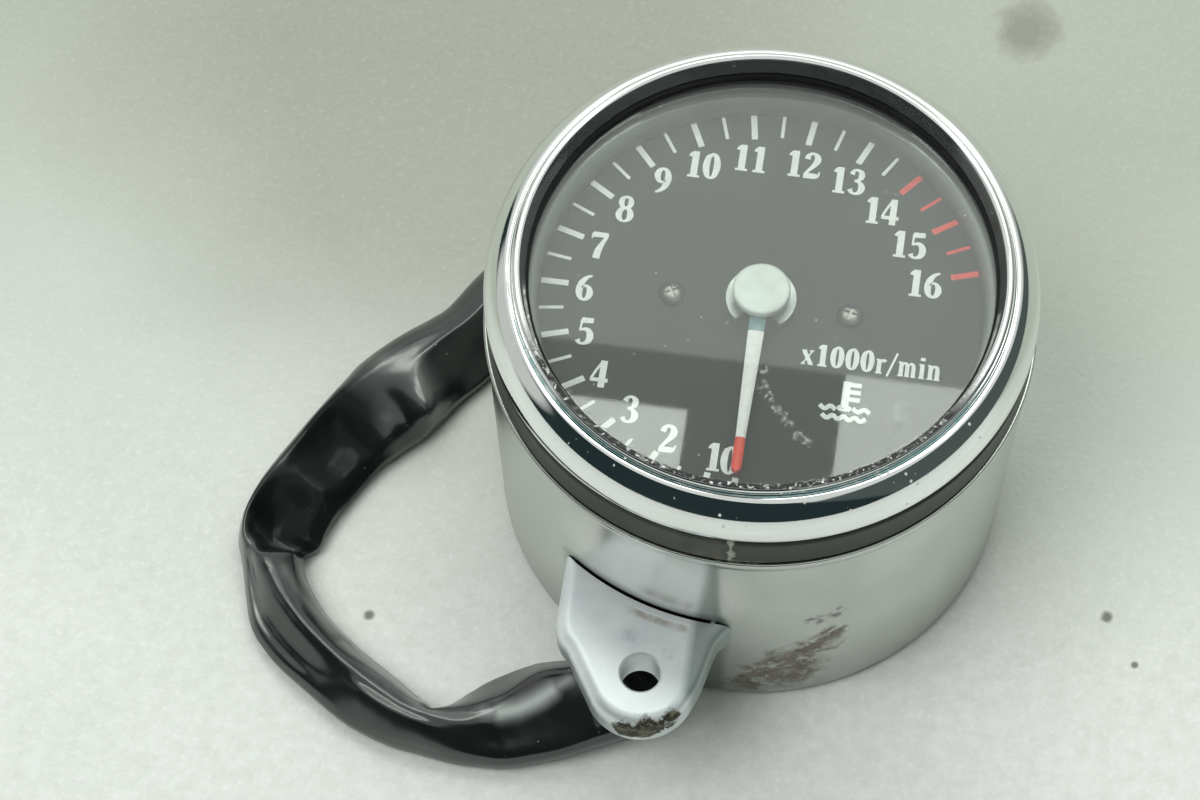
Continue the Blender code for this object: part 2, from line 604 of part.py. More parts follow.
def smooth(points, per_span):
    """Points on the Catmull-Rom curve through the route, whose first stretch stays straight."""
    ends = [points[0] * 2.0 - points[1]] + points + [points[-1] * 2.0 - points[-2]]
    curve = []
    for a, b, c, d in zip(ends, ends[1:], ends[2:], ends[3:]):
        for i in range(per_span):
            t = i / per_span
            curve.append(0.5 * (2.0 * b + (c - a) * t + (2.0 * a - 5.0 * b + 4.0 * c - d) * t ** 2
                                + (3.0 * b - a - 3.0 * c + d) * t ** 3))
    curve.append(points[-1].copy())
    for i in range(1, per_span):
        curve[i] = points[0].lerp(points[1], i / per_span)
    return curve


def tube(name, points, section, mat):
    """A poly curve swept with an oval section, its ends capped."""
    outline = bpy.data.curves.new(name + "_section", "CURVE")
    outline.dimensions = "2D"
    ring = outline.splines.new("POLY")
    ring.points.add(len(section) - 1)
    for point, (x, y) in zip(ring.points, reversed(section)):
        point.co = (x * MM, y * MM, 0.0, 1.0)
    ring.use_cyclic_u = True
    profile = bpy.data.objects.new(name + "_section", outline)
    bpy.context.scene.collection.objects.link(cutter(profile))
    curve = bpy.data.curves.new(name, "CURVE")
    curve.dimensions = "3D"
    curve.twist_mode = "Z_UP"
    curve.bevel_mode = "OBJECT"
    curve.bevel_object = profile
    curve.use_fill_caps = True
    path = curve.splines.new("POLY")
    path.points.add(len(points) - 1)
    for point, co in zip(path.points, points):
        point.co = (*(co * MM), 1.0)
    return place(bpy.data.objects.new(name, curve), mat)


def make_lead(mats):
    route = lead_route()
    tube("harness_sleeve", smooth(route, 2), oval(SLEEVE_HALF_WIDTH, SLEEVE_HALF_HEIGHT, 12), mats["vinyl"])
    ahead = (route[-1] - route[-2]).normalized()
    heading = math.atan2(ahead.y, ahead.x)
    wire_length = 13.0
    wires_start = route[-1] + ahead * GAP
    wires_end = wires_start + Vector(polar(wire_length, heading - 0.12))
    middle = wires_start.lerp(wires_end, 0.5) + Vector(polar(0.4, heading + 1.5))
    tube("harness_wires", smooth([wires_start, middle, wires_end], 3), oval(4.6, 2.4, 10), mats["black_plastic"])
    plug_length = 20.0
    plug_turn = heading - 0.2
    centre = wires_end + Vector(polar(0.5 * plug_length + GAP + 0.4, plug_turn))
    plug_half_height = 5.0
    centre.z = plug_half_height + 0.1
    box("plug_housing", (plug_length, 15.0, 2.0 * plug_half_height), centre, mats["white_plastic"], turn=plug_turn,
        bevel=0.8)
    latch = centre + Vector((0.0, 0.0, plug_half_height + GAP + 0.8))
    box("plug_latch", (13.0, 4.0, 1.6), latch, mats["white_plastic"], turn=plug_turn)


def build():
    clear_scene()
    mats = make_materials()
    posts = [polar(29.0, math.radians(angle))[:2] for angle in (30.0, 150.0, 270.0)]
    make_cup(mats, posts)
    make_lug(mats)
    make_seal_band(mats)
    make_bezel(mats)
    make_lens(mats)
    make_lens_gasket(mats)
    make_dial_surround(mats)
    make_dial(mats)
    make_pointer(mats)
    make_movement(mats)
    make_inner_case(mats, posts)
    make_board(mats)
    make_lighting(mats)
    make_boot(mats)
    make_lead(mats)


build()
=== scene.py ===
"""Looks of a round motorcycle tachometer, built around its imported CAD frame.

Lengths are millimetres until finish_piece() turns them into metres. Heights and radii come from
the frame's boxes, so every piece sits where the CAD says. +Z runs up the cup, +Y to 12 o'clock.
"""
import math

import bmesh
import bpy
from mathutils import Matrix, Vector, noise


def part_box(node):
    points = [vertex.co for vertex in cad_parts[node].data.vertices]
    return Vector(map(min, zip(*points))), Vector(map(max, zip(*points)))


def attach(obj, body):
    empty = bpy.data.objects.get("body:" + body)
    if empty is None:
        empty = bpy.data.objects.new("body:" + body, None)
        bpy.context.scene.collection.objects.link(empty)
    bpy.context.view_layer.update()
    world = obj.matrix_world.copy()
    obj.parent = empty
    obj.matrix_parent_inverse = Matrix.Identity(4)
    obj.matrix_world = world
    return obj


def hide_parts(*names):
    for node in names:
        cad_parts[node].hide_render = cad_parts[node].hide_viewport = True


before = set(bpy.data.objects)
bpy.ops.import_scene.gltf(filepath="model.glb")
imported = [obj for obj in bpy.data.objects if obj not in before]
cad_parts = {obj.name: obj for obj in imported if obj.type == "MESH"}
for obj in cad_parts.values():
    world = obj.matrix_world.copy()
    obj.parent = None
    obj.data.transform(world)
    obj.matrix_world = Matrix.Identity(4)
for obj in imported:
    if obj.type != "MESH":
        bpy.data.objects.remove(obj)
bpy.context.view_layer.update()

MM = 0.001
CASE = "case"
POINTER = "pointer"


def lowest(node):
    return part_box(node)[0] / MM


def highest(node):
    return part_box(node)[1] / MM


DIAL_Z = highest("dial_plate").z
DIAL_R = highest("dial_plate").x
BEZEL_R = highest("bezel").x
TOP_Z = highest("bezel").z
SEAL_LOW = lowest("seal_band").z
SEAL_TOP = highest("seal_band").z
SEAL_R = highest("seal_band").x
CUP_RIM_Z = highest("cup").z
RIM_BEAD_R = highest("cup").x
SURROUND_TOP = highest("dial_surround").z
GASKET_LOW = lowest("lens_gasket").z
GASKET_TOP = highest("lens_gasket").z
GASKET_R = highest("lens_gasket").x
LENS_R = highest("lens").x
LENS_LOW = lowest("lens").z
LENS_TOP = highest("lens").z
LUG_TOP_Z = highest("mounting_lug").z
LUG_LOW_Z = lowest("mounting_lug").z
NEEDLE_LOW = lowest("needle_arm").z
NEEDLE_TOP = highest("needle_arm").z
CAP_R = highest("hub_cap").x
CAP_LOW = lowest("hub_cap").z
CAP_TOP = highest("hub_cap").z
NEEDLE_LENGTH = -lowest("needle_tip").y
SCREW_X = 0.5 * (lowest("dial_screw_right").x + highest("dial_screw_right").x)
CUP_BOTTOM_R = 42.5
CUP_TOP_R = 44.0
CUP_TAPER_Z = 55.0
GAP = 0.3


# ---------------------------------------------------------------- camera
def make_camera():
    """A long lens that looks down on the dial from the front, a little to the right."""
    azimuth, elevation, roll = math.radians(9.1), math.radians(62.5), math.radians(-0.8)
    back = Vector((math.sin(azimuth) * math.cos(elevation), -math.cos(azimuth) * math.cos(elevation),
                   math.sin(elevation)))
    right = Vector((math.cos(azimuth), math.sin(azimuth), 0.0))
    up = back.cross(right)
    tilted_right = right * math.cos(roll) + up * math.sin(roll)
    tilted_up = up * math.cos(roll) - right * math.sin(roll)
    data = bpy.data.cameras.new("camera")
    data.lens = 120.0
    data.sensor_width = 36.0
    data.clip_start = 0.01
    camera = bpy.data.objects.new("camera", data)
    basis = Matrix((tilted_right, tilted_up, back)).transposed().to_4x4()
    eye_m = (0.0231, -0.3073, 0.6165)
    camera.matrix_world = Matrix.Translation(eye_m) @ basis
    bpy.context.scene.collection.objects.link(camera)
    bpy.context.scene.camera = camera


# ---------------------------------------------------------------- materials
class Graph:
    """A node tree under construction; its methods return sockets."""

    def __init__(self, tree):
        self.tree = tree

    def plug(self, socket, value):
        if isinstance(value, bpy.types.NodeSocket):
            self.tree.links.new(value, socket)
        else:
            socket.default_value = value

    def node(self, kind, **inputs):
        made = self.tree.nodes.new(kind)
        for name, value in inputs.items():
            self.plug(made.inputs[name.replace("_", " ")], value)
        return made

    def operate(self, kind, operation, values):
        made = self.tree.nodes.new(kind)
        made.operation = operation
        for socket, value in zip(made.inputs, values):
            self.plug(socket, value)
        return made

    def math(self, operation, first, second=0.0):
        return self.operate("ShaderNodeMath", operation, (first, second)).outputs[0]

    def vector(self, operation, first, second):
        return self.operate("ShaderNodeVectorMath", operation, (first, second))

    def remap(self, value, start, end, low=0.0, high=1.0):
        return self.node("ShaderNodeMapRange", Value=value, From_Min=start, From_Max=end, To_Min=low,
                         To_Max=high).outputs["Result"]

    def blend(self, factor, first, second):
        made = self.tree.nodes.new("ShaderNodeMix")
        made.data_type = "RGBA"
        self.plug(made.inputs["Factor"], factor)
        for socket, value in ((made.inputs[6], first), (made.inputs[7], second)):
            self.plug(socket, value if isinstance(value, bpy.types.NodeSocket) else (*value, 1.0))
        return made.outputs[2]

    def layers(self, base, *coats):
        """Lay coats of (mask, colour) over a base, first to last."""
        for mask, colour in coats:
            base = self.blend(mask, base, colour)
        return base


class Surface(Graph):
    """A Principled material under construction, with lengths in millimetres."""

    def __init__(self, name, roughness=0.5, metallic=0.0):
        self.material = bpy.data.materials.new(name)
        self.material.use_nodes = True
        super().__init__(self.material.node_tree)
        self.place = self.tree.nodes.new("ShaderNodeTexCoord").outputs["Object"]
        self.set("Roughness", roughness)
        self.set("Metallic", metallic)

    def set(self, name, value):
        self.plug(self.tree.nodes["Principled BSDF"].inputs[name], value)

    def stretched(self, x, y, z):
        return self.vector("MULTIPLY", self.place, (x, y, z)).outputs["Vector"]

    def noise(self, scale, detail=3.0, rough=0.5, place=None):
        return self.node("ShaderNodeTexNoise", Scale=scale, Detail=detail, Roughness=rough,
                         Vector=place or self.place).outputs["Fac"]

    def grit(self, scale, detail, rough, start, end, low=0.0, high=1.0):
        """Noise stretched so that start reads low and end reads high."""
        return self.remap(self.noise(scale, detail, rough), start, end, low, high)

    def axis(self, letter):
        return self.node("ShaderNodeSeparateXYZ", Vector=self.place).outputs[letter]

    def along(self, letter, start, end, low=0.0, high=1.0):
        """A ramp along one of the part's axes."""
        return self.remap(self.axis(letter), start * MM, end * MM, low, high)

    def outward(self, start, end, low=0.0, high=1.0):
        """A ramp by distance from the cup's axis."""
        radius = self.vector("LENGTH", self.stretched(1.0, 1.0, 0.0), (0.0, 0.0, 0.0)).outputs["Value"]
        return self.remap(radius, start * MM, end * MM, low, high)

    def value(self, factor, first, second):
        made = self.tree.nodes.new("ShaderNodeMix")
        self.plug(made.inputs["Factor"], factor)
        self.plug(made.inputs[2], first)
        self.plug(made.inputs[3], second)
        return made.outputs[0]

    def worn(self, mask, metallic, roughness):
        """Metallic and roughness as (clean, worn) pairs."""
        self.set("Metallic", self.value(mask, *metallic))
        self.set("Roughness", self.value(mask, *roughness))

    def chain(self, operation, values):
        whole = values[0]
        for value in values[1:]:
            whole = self.math(operation, whole, value)
        return whole

    def either(self, *values):
        return self.chain("MAXIMUM", values)

    def both(self, *values):
        return self.chain("MULTIPLY", values)

    def near(self, letter, spot, edge, core):
        """One within core of a place on an axis, fading to nothing at edge."""
        away = self.math("ABSOLUTE", self.math("SUBTRACT", self.axis(letter), spot * MM))
        return self.remap(away, edge * MM, core * MM)

    def blot(self, centre, reach, ragged, scale):
        """One at a point, fading to nothing at reach, with a ragged edge."""
        away = self.vector("DISTANCE", self.place, tuple(c * MM for c in centre)).outputs["Value"]
        wobble = self.both(self.math("SUBTRACT", self.noise(scale, 5.0, 0.65), 0.5), ragged * MM)
        return self.remap(self.math("ADD", away, wobble), reach * MM, 0.45 * reach * MM)

    def blots(self, spots, ragged, scale):
        """Blots at (centre, reach), run together."""
        return self.either(*[self.blot(centre, reach, ragged, scale) for centre, reach in spots])

    def trail(self, points, reach, amount):
        """A soft band over a line of points (x, y), whatever the height."""
        bands = []
        flat = self.stretched(1.0, 1.0, 0.0)
        for first, second in zip(points, points[1:]):
            start = Vector((*first, 0.0)) * MM
            run = Vector((*second, 0.0)) * MM - start
            heading = run.normalized()
            away = self.vector("SUBTRACT", flat, tuple(start)).outputs["Vector"]
            share = self.vector("DOT_PRODUCT", away, tuple(heading)).outputs["Value"]
            share = self.math("MINIMUM", self.math("MAXIMUM", share, 0.0), run.length)
            foot = self.node("ShaderNodeCombineXYZ", X=self.both(share, heading.x),
                             Y=self.both(share, heading.y))
            gap = self.vector("DISTANCE", away, foot.outputs["Vector"]).outputs["Value"]
            bands.append(self.remap(gap, reach * MM, 0.1 * reach * MM))
        band = self.either(*bands)
        return self.both(band, band, amount)

    def bump(self, height, distance, strength=1.0):
        made = self.node("ShaderNodeBump", Height=height, Distance=distance * MM, Strength=strength)
        self.set("Normal", made.outputs["Normal"])

    def specks(self, scale, size, share):
        """Scattered round specks: one inside them. Share is how much of the surface has any."""
        cells = self.node("ShaderNodeTexVoronoi", Scale=scale, Vector=self.place).outputs["Distance"]
        return self.both(self.remap(cells, size, 0.6 * size),
                         self.remap(self.noise(0.23 * scale, 2.0), 1.0 - share, 1.04 - share))


def chrome_surface():
    """Mirror chrome with grime on the lip's inner facet and a stained groove, both on the near side."""
    s = Surface("polished_chrome", roughness=0.04, metallic=1.0)
    haze = s.noise(90.0, 4.0, 0.6)
    front = s.along("Y", -12.0, -22.0)
    grime = s.both(s.outward(37.95, 38.1), s.outward(39.15, 39.0), front, s.grit(900.0, 5.0, 0.7, 0.30, 0.46))
    stain = s.both(s.outward(39.55, 39.6), s.outward(39.9, 39.85), front,
                   s.grit(400.0, 3.0, 0.5, 0.3, 0.5, 0.4, 0.9))
    flecks = s.both(grime, s.grit(1500.0, 3.0, 0.6, 0.60, 0.66))
    crumbs = s.either(s.both(s.specks(700.0, 0.2, 0.42), front), flecks)
    base = s.blend(haze, (0.80, 0.82, 0.82), (0.88, 0.89, 0.88))
    s.set("Base Color", s.layers(base, (stain, (0.16, 0.34, 0.35)), (grime, (0.022, 0.022, 0.020)),
                                 (crumbs, (0.78, 0.78, 0.74))))
    dirty = s.either(crumbs, grime)
    s.worn(dirty, (1.0, 0.0), (s.remap(haze, 0.35, 0.75, 0.03, 0.10), 0.6))
    s.bump(s.math("ADD", s.both(s.noise(60.0, 2.0), 0.02), dirty), 0.05, 0.6)
    return s.material


def satin_surface():
    """Hazy chrome on the cup, scuffed and rusted at the front, with painted shade low down, at the sides and
    above the lug, and a painted highlight high on the left.
    """
    s = Surface("satin_chrome", roughness=0.3, metallic=1.0)
    cloud = s.noise(45.0, 4.0, 0.6)
    lines = s.noise(160.0, 4.0, 0.7, s.stretched(1.0, 1.0, 9.0))
    rust = s.blots([((8.0, -42.4, 10.5), 7.0), ((11.5, -41.3, 14.5), 7.0), ((15.0, -40.0, 19.5), 5.5),
                    ((17.5, -39.2, 23.0), 4.0), ((5.0, -42.6, 7.0), 5.0), ((12.0, -41.0, 8.5), 5.0)],
                   11.0, 210.0)
    rust = s.both(rust, s.grit(330.0, 6.0, 0.7, 0.37, 0.50))
    smudge = s.either(s.blot((15.4, -40.8, 31.0), 2.4, 4.0, 260.0),
                      s.blot((18.4, -39.4, 32.0), 2.2, 3.0, 260.0))
    smudge = s.both(smudge, s.grit(500.0, 4.0, 0.5, 0.42, 0.56))
    # painted shade: darker along the bottom edge where the cup meets the floor, broken up by noise
    painted_contact_shade = s.both(s.along("Z", 6.0, 1.0), s.grit(150.0, 4.0, 0.5, 0.35, 0.65))
    # painted highlight: a pale patch high on the left of the front
    painted_highlight = s.blot((-12.0, -42.5, 42.0), 18.0, 4.0, 60.0)
    # painted shade: a dark band on the cup just above the lug
    painted_shade_by_lug = s.both(s.along("X", -27.5, -25.5), s.along("X", 2.0, 0.0), s.along("Z", 34.0, 31.2),
                    s.along("Y", -30.0, -34.0), 0.85)
    # painted shade: darker towards the bottom, at the left and a little at the right
    shade = s.either(s.along("Z", 26.0, 4.0, 0.0, 0.42), s.along("X", -26.0, -40.0, 0.0, 0.42),
                     s.along("X", 26.0, 40.0, 0.0, 0.16), painted_shade_by_lug)
    base = s.blend(s.remap(cloud, 0.3, 0.7), (0.53, 0.56, 0.53), (0.66, 0.69, 0.65))
    rust_colour = s.blend(s.noise(420.0, 4.0), (0.06, 0.045, 0.04), (0.30, 0.25, 0.21))
    s.set("Base Color", s.layers(base, (s.both(lines, 0.3), (0.36, 0.38, 0.36)),
                                 (s.both(painted_highlight, 0.85), (0.90, 0.91, 0.89)), (shade, (0.20, 0.22, 0.19)),
                                 (s.both(painted_contact_shade, 0.5), (0.22, 0.22, 0.2)),
                                 (s.both(smudge, 0.75), (0.16, 0.15, 0.14)),
                                 (s.both(rust, 0.93), rust_colour)))
    s.worn(s.either(rust, smudge), (1.0, 0.25), (s.remap(cloud, 0.3, 0.7, 0.19, 0.28), 0.6))
    s.bump(s.math("ADD", s.both(lines, 0.15), rust), 0.05, 0.5)
    return s.material


def lug_surface():
    """Buffed metal, pitted brown at the tip and stained along the edge by the cup, with painted shade
    on its right edge and low on its left wall.
    """
    s = Surface("lug_metal", roughness=0.22, metallic=1.0)
    cloud = s.noise(130.0, 5.0, 0.6)
    tip = s.blots([((-12.6, -62.2, 27.2), 3.4), ((-9.4, -62.0, 28.0), 3.6), ((-6.2, -60.6, 28.4), 3.0)],
                  3.2, 500.0)
    tip = s.remap(s.both(tip, s.grit(700.0, 6.0, 0.72, 0.34, 0.46)), 0.35, 0.6)
    by_cup = s.both(s.outward(46.2, 45.6), s.outward(44.6, 45.0), s.along("X", -16.5, -14.5),
                    s.along("X", -4.5, -6.0))
    stain = s.both(by_cup, s.grit(240.0, 6.0, 0.75, 0.36, 0.66))
    spots = s.blots([((-14.2, -47.4, 30.5), 1.6), ((-7.7, -49.8, 30.5), 1.3)], 2.4, 700.0)
    spots = s.both(spots, s.grit(650.0, 5.0, 0.7, 0.42, 0.72, 0.0, 0.5))
    # painted shade: a dark band along the right edge
    painted_shade_right_edge = s.both(s.along("X", -5.2, -3.6), s.along("Y", -57.5, -55.5), 0.8)
    # painted shade: the left side wall, low down
    painted_shade_left_wall = s.both(s.along("Z", 28.5, 26.8), s.along("X", -12.5, -16.5), 0.75)
    base = s.blend(s.remap(cloud, 0.3, 0.7), (0.74, 0.81, 0.83), (0.93, 0.96, 0.96))
    pits = s.blend(s.grit(600.0, 4.0, 0.7, 0.46, 0.66), (0.03, 0.028, 0.02), (0.20, 0.19, 0.13))
    s.set("Base Color", s.layers(base, (painted_shade_right_edge, (0.22, 0.27, 0.25)),
                                 (s.along("Y", -52.5, -60.0, 0.0, 0.3), (0.42, 0.46, 0.45)),
                                 (painted_shade_left_wall, (0.20, 0.23, 0.22)), (spots, (0.3, 0.33, 0.35)),
                                 (s.both(stain, 0.75), (0.20, 0.15, 0.10)), (tip, pits)))
    worn = s.either(tip, stain)
    s.worn(worn, (0.5, 0.1), (s.remap(cloud, 0.3, 0.7, 0.34, 0.46), 0.7))
    s.bump(s.math("SUBTRACT", s.both(cloud, 0.4), worn), 0.12, 0.6)
    return s.material


def rubber_surface(name, colour, roughness, chip=False):
    """Dusty rubber; the seal's has a torn chip and a scuffed stretch at the front."""
    s = Surface(name, roughness=roughness)
    height = s.noise(1500.0, 3.0)
    dusty = tuple(0.4 * c + 0.13 for c in colour)
    base = s.blend(s.grit(120.0, 5.0, 0.65, 0.5, 0.85, 0.0, 0.12), colour, dusty)
    if chip:
        wander = s.both(s.math("SUBTRACT", s.noise(420.0, 5.0, 0.7), 0.5), 4.0 * MM)
        aside = s.math("ABSOLUTE", s.math("ADD", s.math("SUBTRACT", s.axis("X"), 0.9 * MM), wander))
        in_front = s.along("Y", -30.0, -40.0)
        frayed = s.both(s.along("Z", SEAL_LOW + 0.7, SEAL_LOW + 0.2), in_front, s.near("X", 3.0, 6.0, 2.0),
                        s.grit(900.0, 3.0, 0.5, 0.45, 0.6))
        torn = s.either(s.both(s.remap(aside, 0.45 * MM, 0.18 * MM), in_front), frayed)
        scuffed = s.both(s.along("X", 1.0, -1.0), s.along("X", -16.0, -2.0), in_front,
                         s.grit(260.0, 5.0, 0.7, 0.35, 0.7), 0.6)
        base = s.layers(base, (scuffed, (0.16, 0.15, 0.12)), (s.both(torn, 0.85), (0.45, 0.45, 0.38)))
        height = s.math("SUBTRACT", height, torn)
    s.set("Base Color", base)
    s.set("Specular IOR Level", 0.3)
    s.bump(height, 0.06, 0.5)
    return s.material


# Painted highlights along the sleeve's stretched ridges, as paler vinyl: points (x, y), reach, strength.
SLEEVE_CREST = [(-37.4, -55.3), (-34.6, -54.9), (-31.8, -54.0), (-29.2, -52.4), (-26.8, -50.6),
                (-24.2, -48.6)]
SLEEVE_PAINTED_SHEEN = (
    (SLEEVE_CREST, 2.0, 0.5),
    (SLEEVE_CREST[1:-1], 2.7, 0.95),
    ([(-48.5, -54.8), (-51.3, -53.1), (-54.2, -51.1), (-57.0, -49.2), (-59.8, -47.4), (-62.5, -45.4)],
     2.2, 0.34),
    ([(-64.9, -43.0), (-67.6, -40.6), (-70.2, -38.8), (-72.7, -36.2), (-75.0, -33.5)], 2.2, 0.22),
    ([(-82.5, -29.8), (-81.1, -33.4), (-79.6, -36.9), (-78.1, -40.5)], 3.2, 0.20),
    ([(-64.5, 6.2), (-61.8, 6.4), (-59.4, 5.8), (-57.6, 3.8), (-56.3, 1.6)], 4.6, 0.18))


def vinyl_surface():
    """Soft black PVC with fine pulled wrinkles, a little dust, painted highlights along its ridges and dulled
    folds.
    """
    s = Surface("sleeve_vinyl", roughness=0.3)
    broad = s.noise(110.0, 3.0)
    dust = s.both(s.specks(900.0, 0.16, 0.36), 0.5)
    # painted highlights: paler vinyl along the ridges stands in for soft highlights
    painted_sheen = s.either(*[s.trail(*trail) for trail in SLEEVE_PAINTED_SHEEN])
    base = s.blend(s.remap(broad, 0.3, 0.7), (0.007, 0.008, 0.008), (0.012, 0.014, 0.013))
    s.set("Base Color", s.layers(base, (painted_sheen, (0.42, 0.46, 0.44)), (dust, (0.35, 0.35, 0.32))))
    s.set("Roughness", s.remap(broad, 0.3, 0.7, 0.17, 0.24))
    s.set("IOR", 1.8)
    fold = s.blots([((-71.0, -5.0, 6.0), 9.5), ((-76.5, -21.0, 5.0), 9.0), ((-70.0, -12.0, 6.0), 11.0)],
                   3.0, 90.0)
    s.set("Specular IOR Level", s.remap(fold, 0.0, 0.7, 0.5, 0.05))
    s.bump(s.math("ADD", s.both(s.noise(420.0, 4.0, 0.6), 0.25), broad), 0.15, 0.3)
    return s.material


def dial_surface():
    s = Surface("dial_black")
    base = s.blend(s.grit(40.0, 3.0, 0.5, 0.3, 0.7), (0.021, 0.025, 0.021), (0.028, 0.033, 0.027))
    s.set("Base Color", s.blend(s.both(s.specks(800.0, 0.12, 0.35), 0.3), base, (0.5, 0.5, 0.46)))
    s.set("Roughness", s.grit(2600.0, 2.0, 0.5, 0.3, 0.7, 0.5, 0.6))
    s.set("Specular IOR Level", 0.25)
    return s.material


def ring_surface():
    """The ring round the dial: painted shade makes it as dark as the dial at its inner edge and darker under
    the gasket's lip; pale further out, and paler still at the sides with painted light.
    """
    s = Surface("ring_grey", roughness=0.4)
    pale = s.blend(s.grit(260.0, 4.0, 0.6, 0.3, 0.7), (0.075, 0.085, 0.08), (0.10, 0.11, 0.105))
    # painted light: the ring is paler towards its left and right sides
    side = s.remap(s.math("ABSOLUTE", s.axis("X")), 14.0 * MM, 32.0 * MM)
    pale = s.blend(s.both(side, 0.7), pale, (0.46, 0.50, 0.47))
    # painted shade: as dark as the dial at the inner edge
    base = s.blend(s.outward(35.2, 36.2), (0.032, 0.036, 0.031), pale)
    # painted shade under the gasket's lip
    s.set("Base Color", s.blend(s.outward(36.4, 37.0, 0.0, 0.7), base, (0.05, 0.055, 0.05)))
    return s.material


def print_surface(name, colour):
    """Screen-printed ink, a little uneven."""
    s = Surface(name, roughness=0.45)
    patch = s.noise(700.0, 4.0, 0.6)
    s.set("Base Color", s.blend(s.remap(patch, 0.35, 0.7), colour, tuple(0.86 * c for c in colour)))
    s.bump(patch, 0.02, 0.4)
    return s.material


def moulded_surface(name, colour, roughness=0.45, metallic=0.0):
    """Moulded or machined stock for the pieces inside and behind: grain, mottling and fine bump."""
    s = Surface(name, roughness=roughness, metallic=metallic)
    mottle = s.noise(260.0, 4.0, 0.6)
    s.set("Base Color", s.blend(s.remap(mottle, 0.3, 0.7), colour, tuple(0.78 * c for c in colour)))
    s.set("Roughness", s.remap(mottle, 0.3, 0.7, 0.85 * roughness, 1.2 * roughness))
    s.bump(s.noise(1400.0, 3.0), 0.03, 0.5)
    return s.material


SCRATCH = [(1.8, -14.2), (2.4, -17.5), (2.8, -19.8), (4.3, -21.6), (5.7, -22.9), (7.0, -24.3), (8.1, -26.0),
           (9.7, -27.0), (11.3, -27.8)]


def clear_surface(name, tint, film):
    """Thin clear glass: lets light straight through, mirrors by angle, has a film on its top face."""
    s = Surface(name, roughness=0.02)

    def mixed(factor, first, second):
        made = s.node("ShaderNodeMixShader")
        for socket, value in zip(made.inputs, (factor, first, second)):
            s.plug(socket, value)
        return made.outputs[0]

    clear = s.node("ShaderNodeBsdfTransparent", Color=(*tint, 1.0)).outputs[0]
    mirror = s.node("ShaderNodeBsdfGlossy", Color=(1.0, 1.0, 1.0, 1.0), Roughness=0.015).outputs[0]
    glass = mixed(s.node("ShaderNodeFresnel", IOR=1.5).outputs[0], clear, mirror)
    haze = s.grit(28.0, 3.0, 0.5, 0.3, 0.7, 0.7 * film, 1.3 * film)
    dust = s.both(s.specks(620.0, 0.13, 0.42), 0.45)
    crumbs = s.both(s.outward(35.6, 36.5), s.along("Y", -20.0, -29.0), s.grit(1600.0, 4.0, 0.7, 0.48, 0.60))
    smear = s.both(s.blot((24.8, -20.1, 66.9), 3.4, 3.0, 300.0), s.grit(240.0, 3.0, 0.5, 0.4, 0.7, 0.0, 0.22))
    middles = [(0.5 * (start[0] + end[0]), 0.5 * (start[1] + end[1]), LENS_TOP)
               for start, end in zip(SCRATCH, SCRATCH[1:])]
    mark = s.blots([(middle, 1.15) for middle in middles], 1.6, 900.0)
    mark = s.both(mark, s.grit(1000.0, 3.0, 0.5, 0.42, 0.56, 0.0, 0.34))
    cover = s.both(s.either(haze, dust, crumbs, smear, mark), s.along("Z", LENS_TOP - 0.4, LENS_TOP - 0.2))
    film_shader = s.node("ShaderNodeBsdfDiffuse", Color=(0.80, 0.83, 0.79, 1.0)).outputs[0]
    s.plug(s.tree.nodes["Material Output"].inputs["Surface"], mixed(cover, glass, film_shader))
    return s.material


def floor_surface():
    """Pale matt board with a fine grain and painted glints towards the front; painted shade makes it darker
    towards the back and in a broad patch at the back left; a few dark crumbs.
    """
    s = Surface("floor_board", roughness=0.7)
    fibre = s.noise(900.0, 4.0, 0.7)
    near = s.along("Y", 20.0, -30.0, 0.25, 1.0)
    mottle = s.both(near, s.grit(330.0, 3.0, 0.6, 0.35, 0.65, 0.26, 0.0))
    # painted glints: pale specks that stand for sparkle, towards the front
    painted_glint = s.both(near, s.remap(fibre, 0.52, 0.75, 0.0, 0.5))
    # painted shade: a broad dark patch at the back left
    painted_shade_patch = s.both(s.blot((-58.0, 74.0, 0.0), 85.0, 30.0, 30.0), 0.6)
    crumbs = [s.blot((x, y, 0.0), reach, 0.8 * reach, 700.0)
              for x, y, reach in ((-60.3, -36.5, 1.2), (63.1, -19.1, 1.3), (68.5, -27.2, 0.8))]
    crumbs.append(s.both(s.blot((38.6, 96.0, 0.0), 7.0, 8.0, 130.0), 0.55))
    base = s.blend(s.grit(14.0, 3.0, 0.5, 0.3, 0.7), (0.76, 0.79, 0.75), (0.85, 0.87, 0.84))
    # painted shade: the board turns darker towards the back
    s.set("Base Color", s.layers(base, (s.along("Y", -45.0, 75.0), (0.455, 0.485, 0.415)),
                                 (painted_shade_patch, (0.30, 0.31, 0.26)), (mottle, (0.55, 0.57, 0.52)),
                                 (painted_glint, (0.97, 0.98, 0.97)),
                                 (s.both(s.either(*crumbs), 0.8), (0.10, 0.09, 0.07))))
    s.bump(s.math("ADD", fibre, s.noise(240.0, 2.0)), 0.35, 0.5)
    return s.material


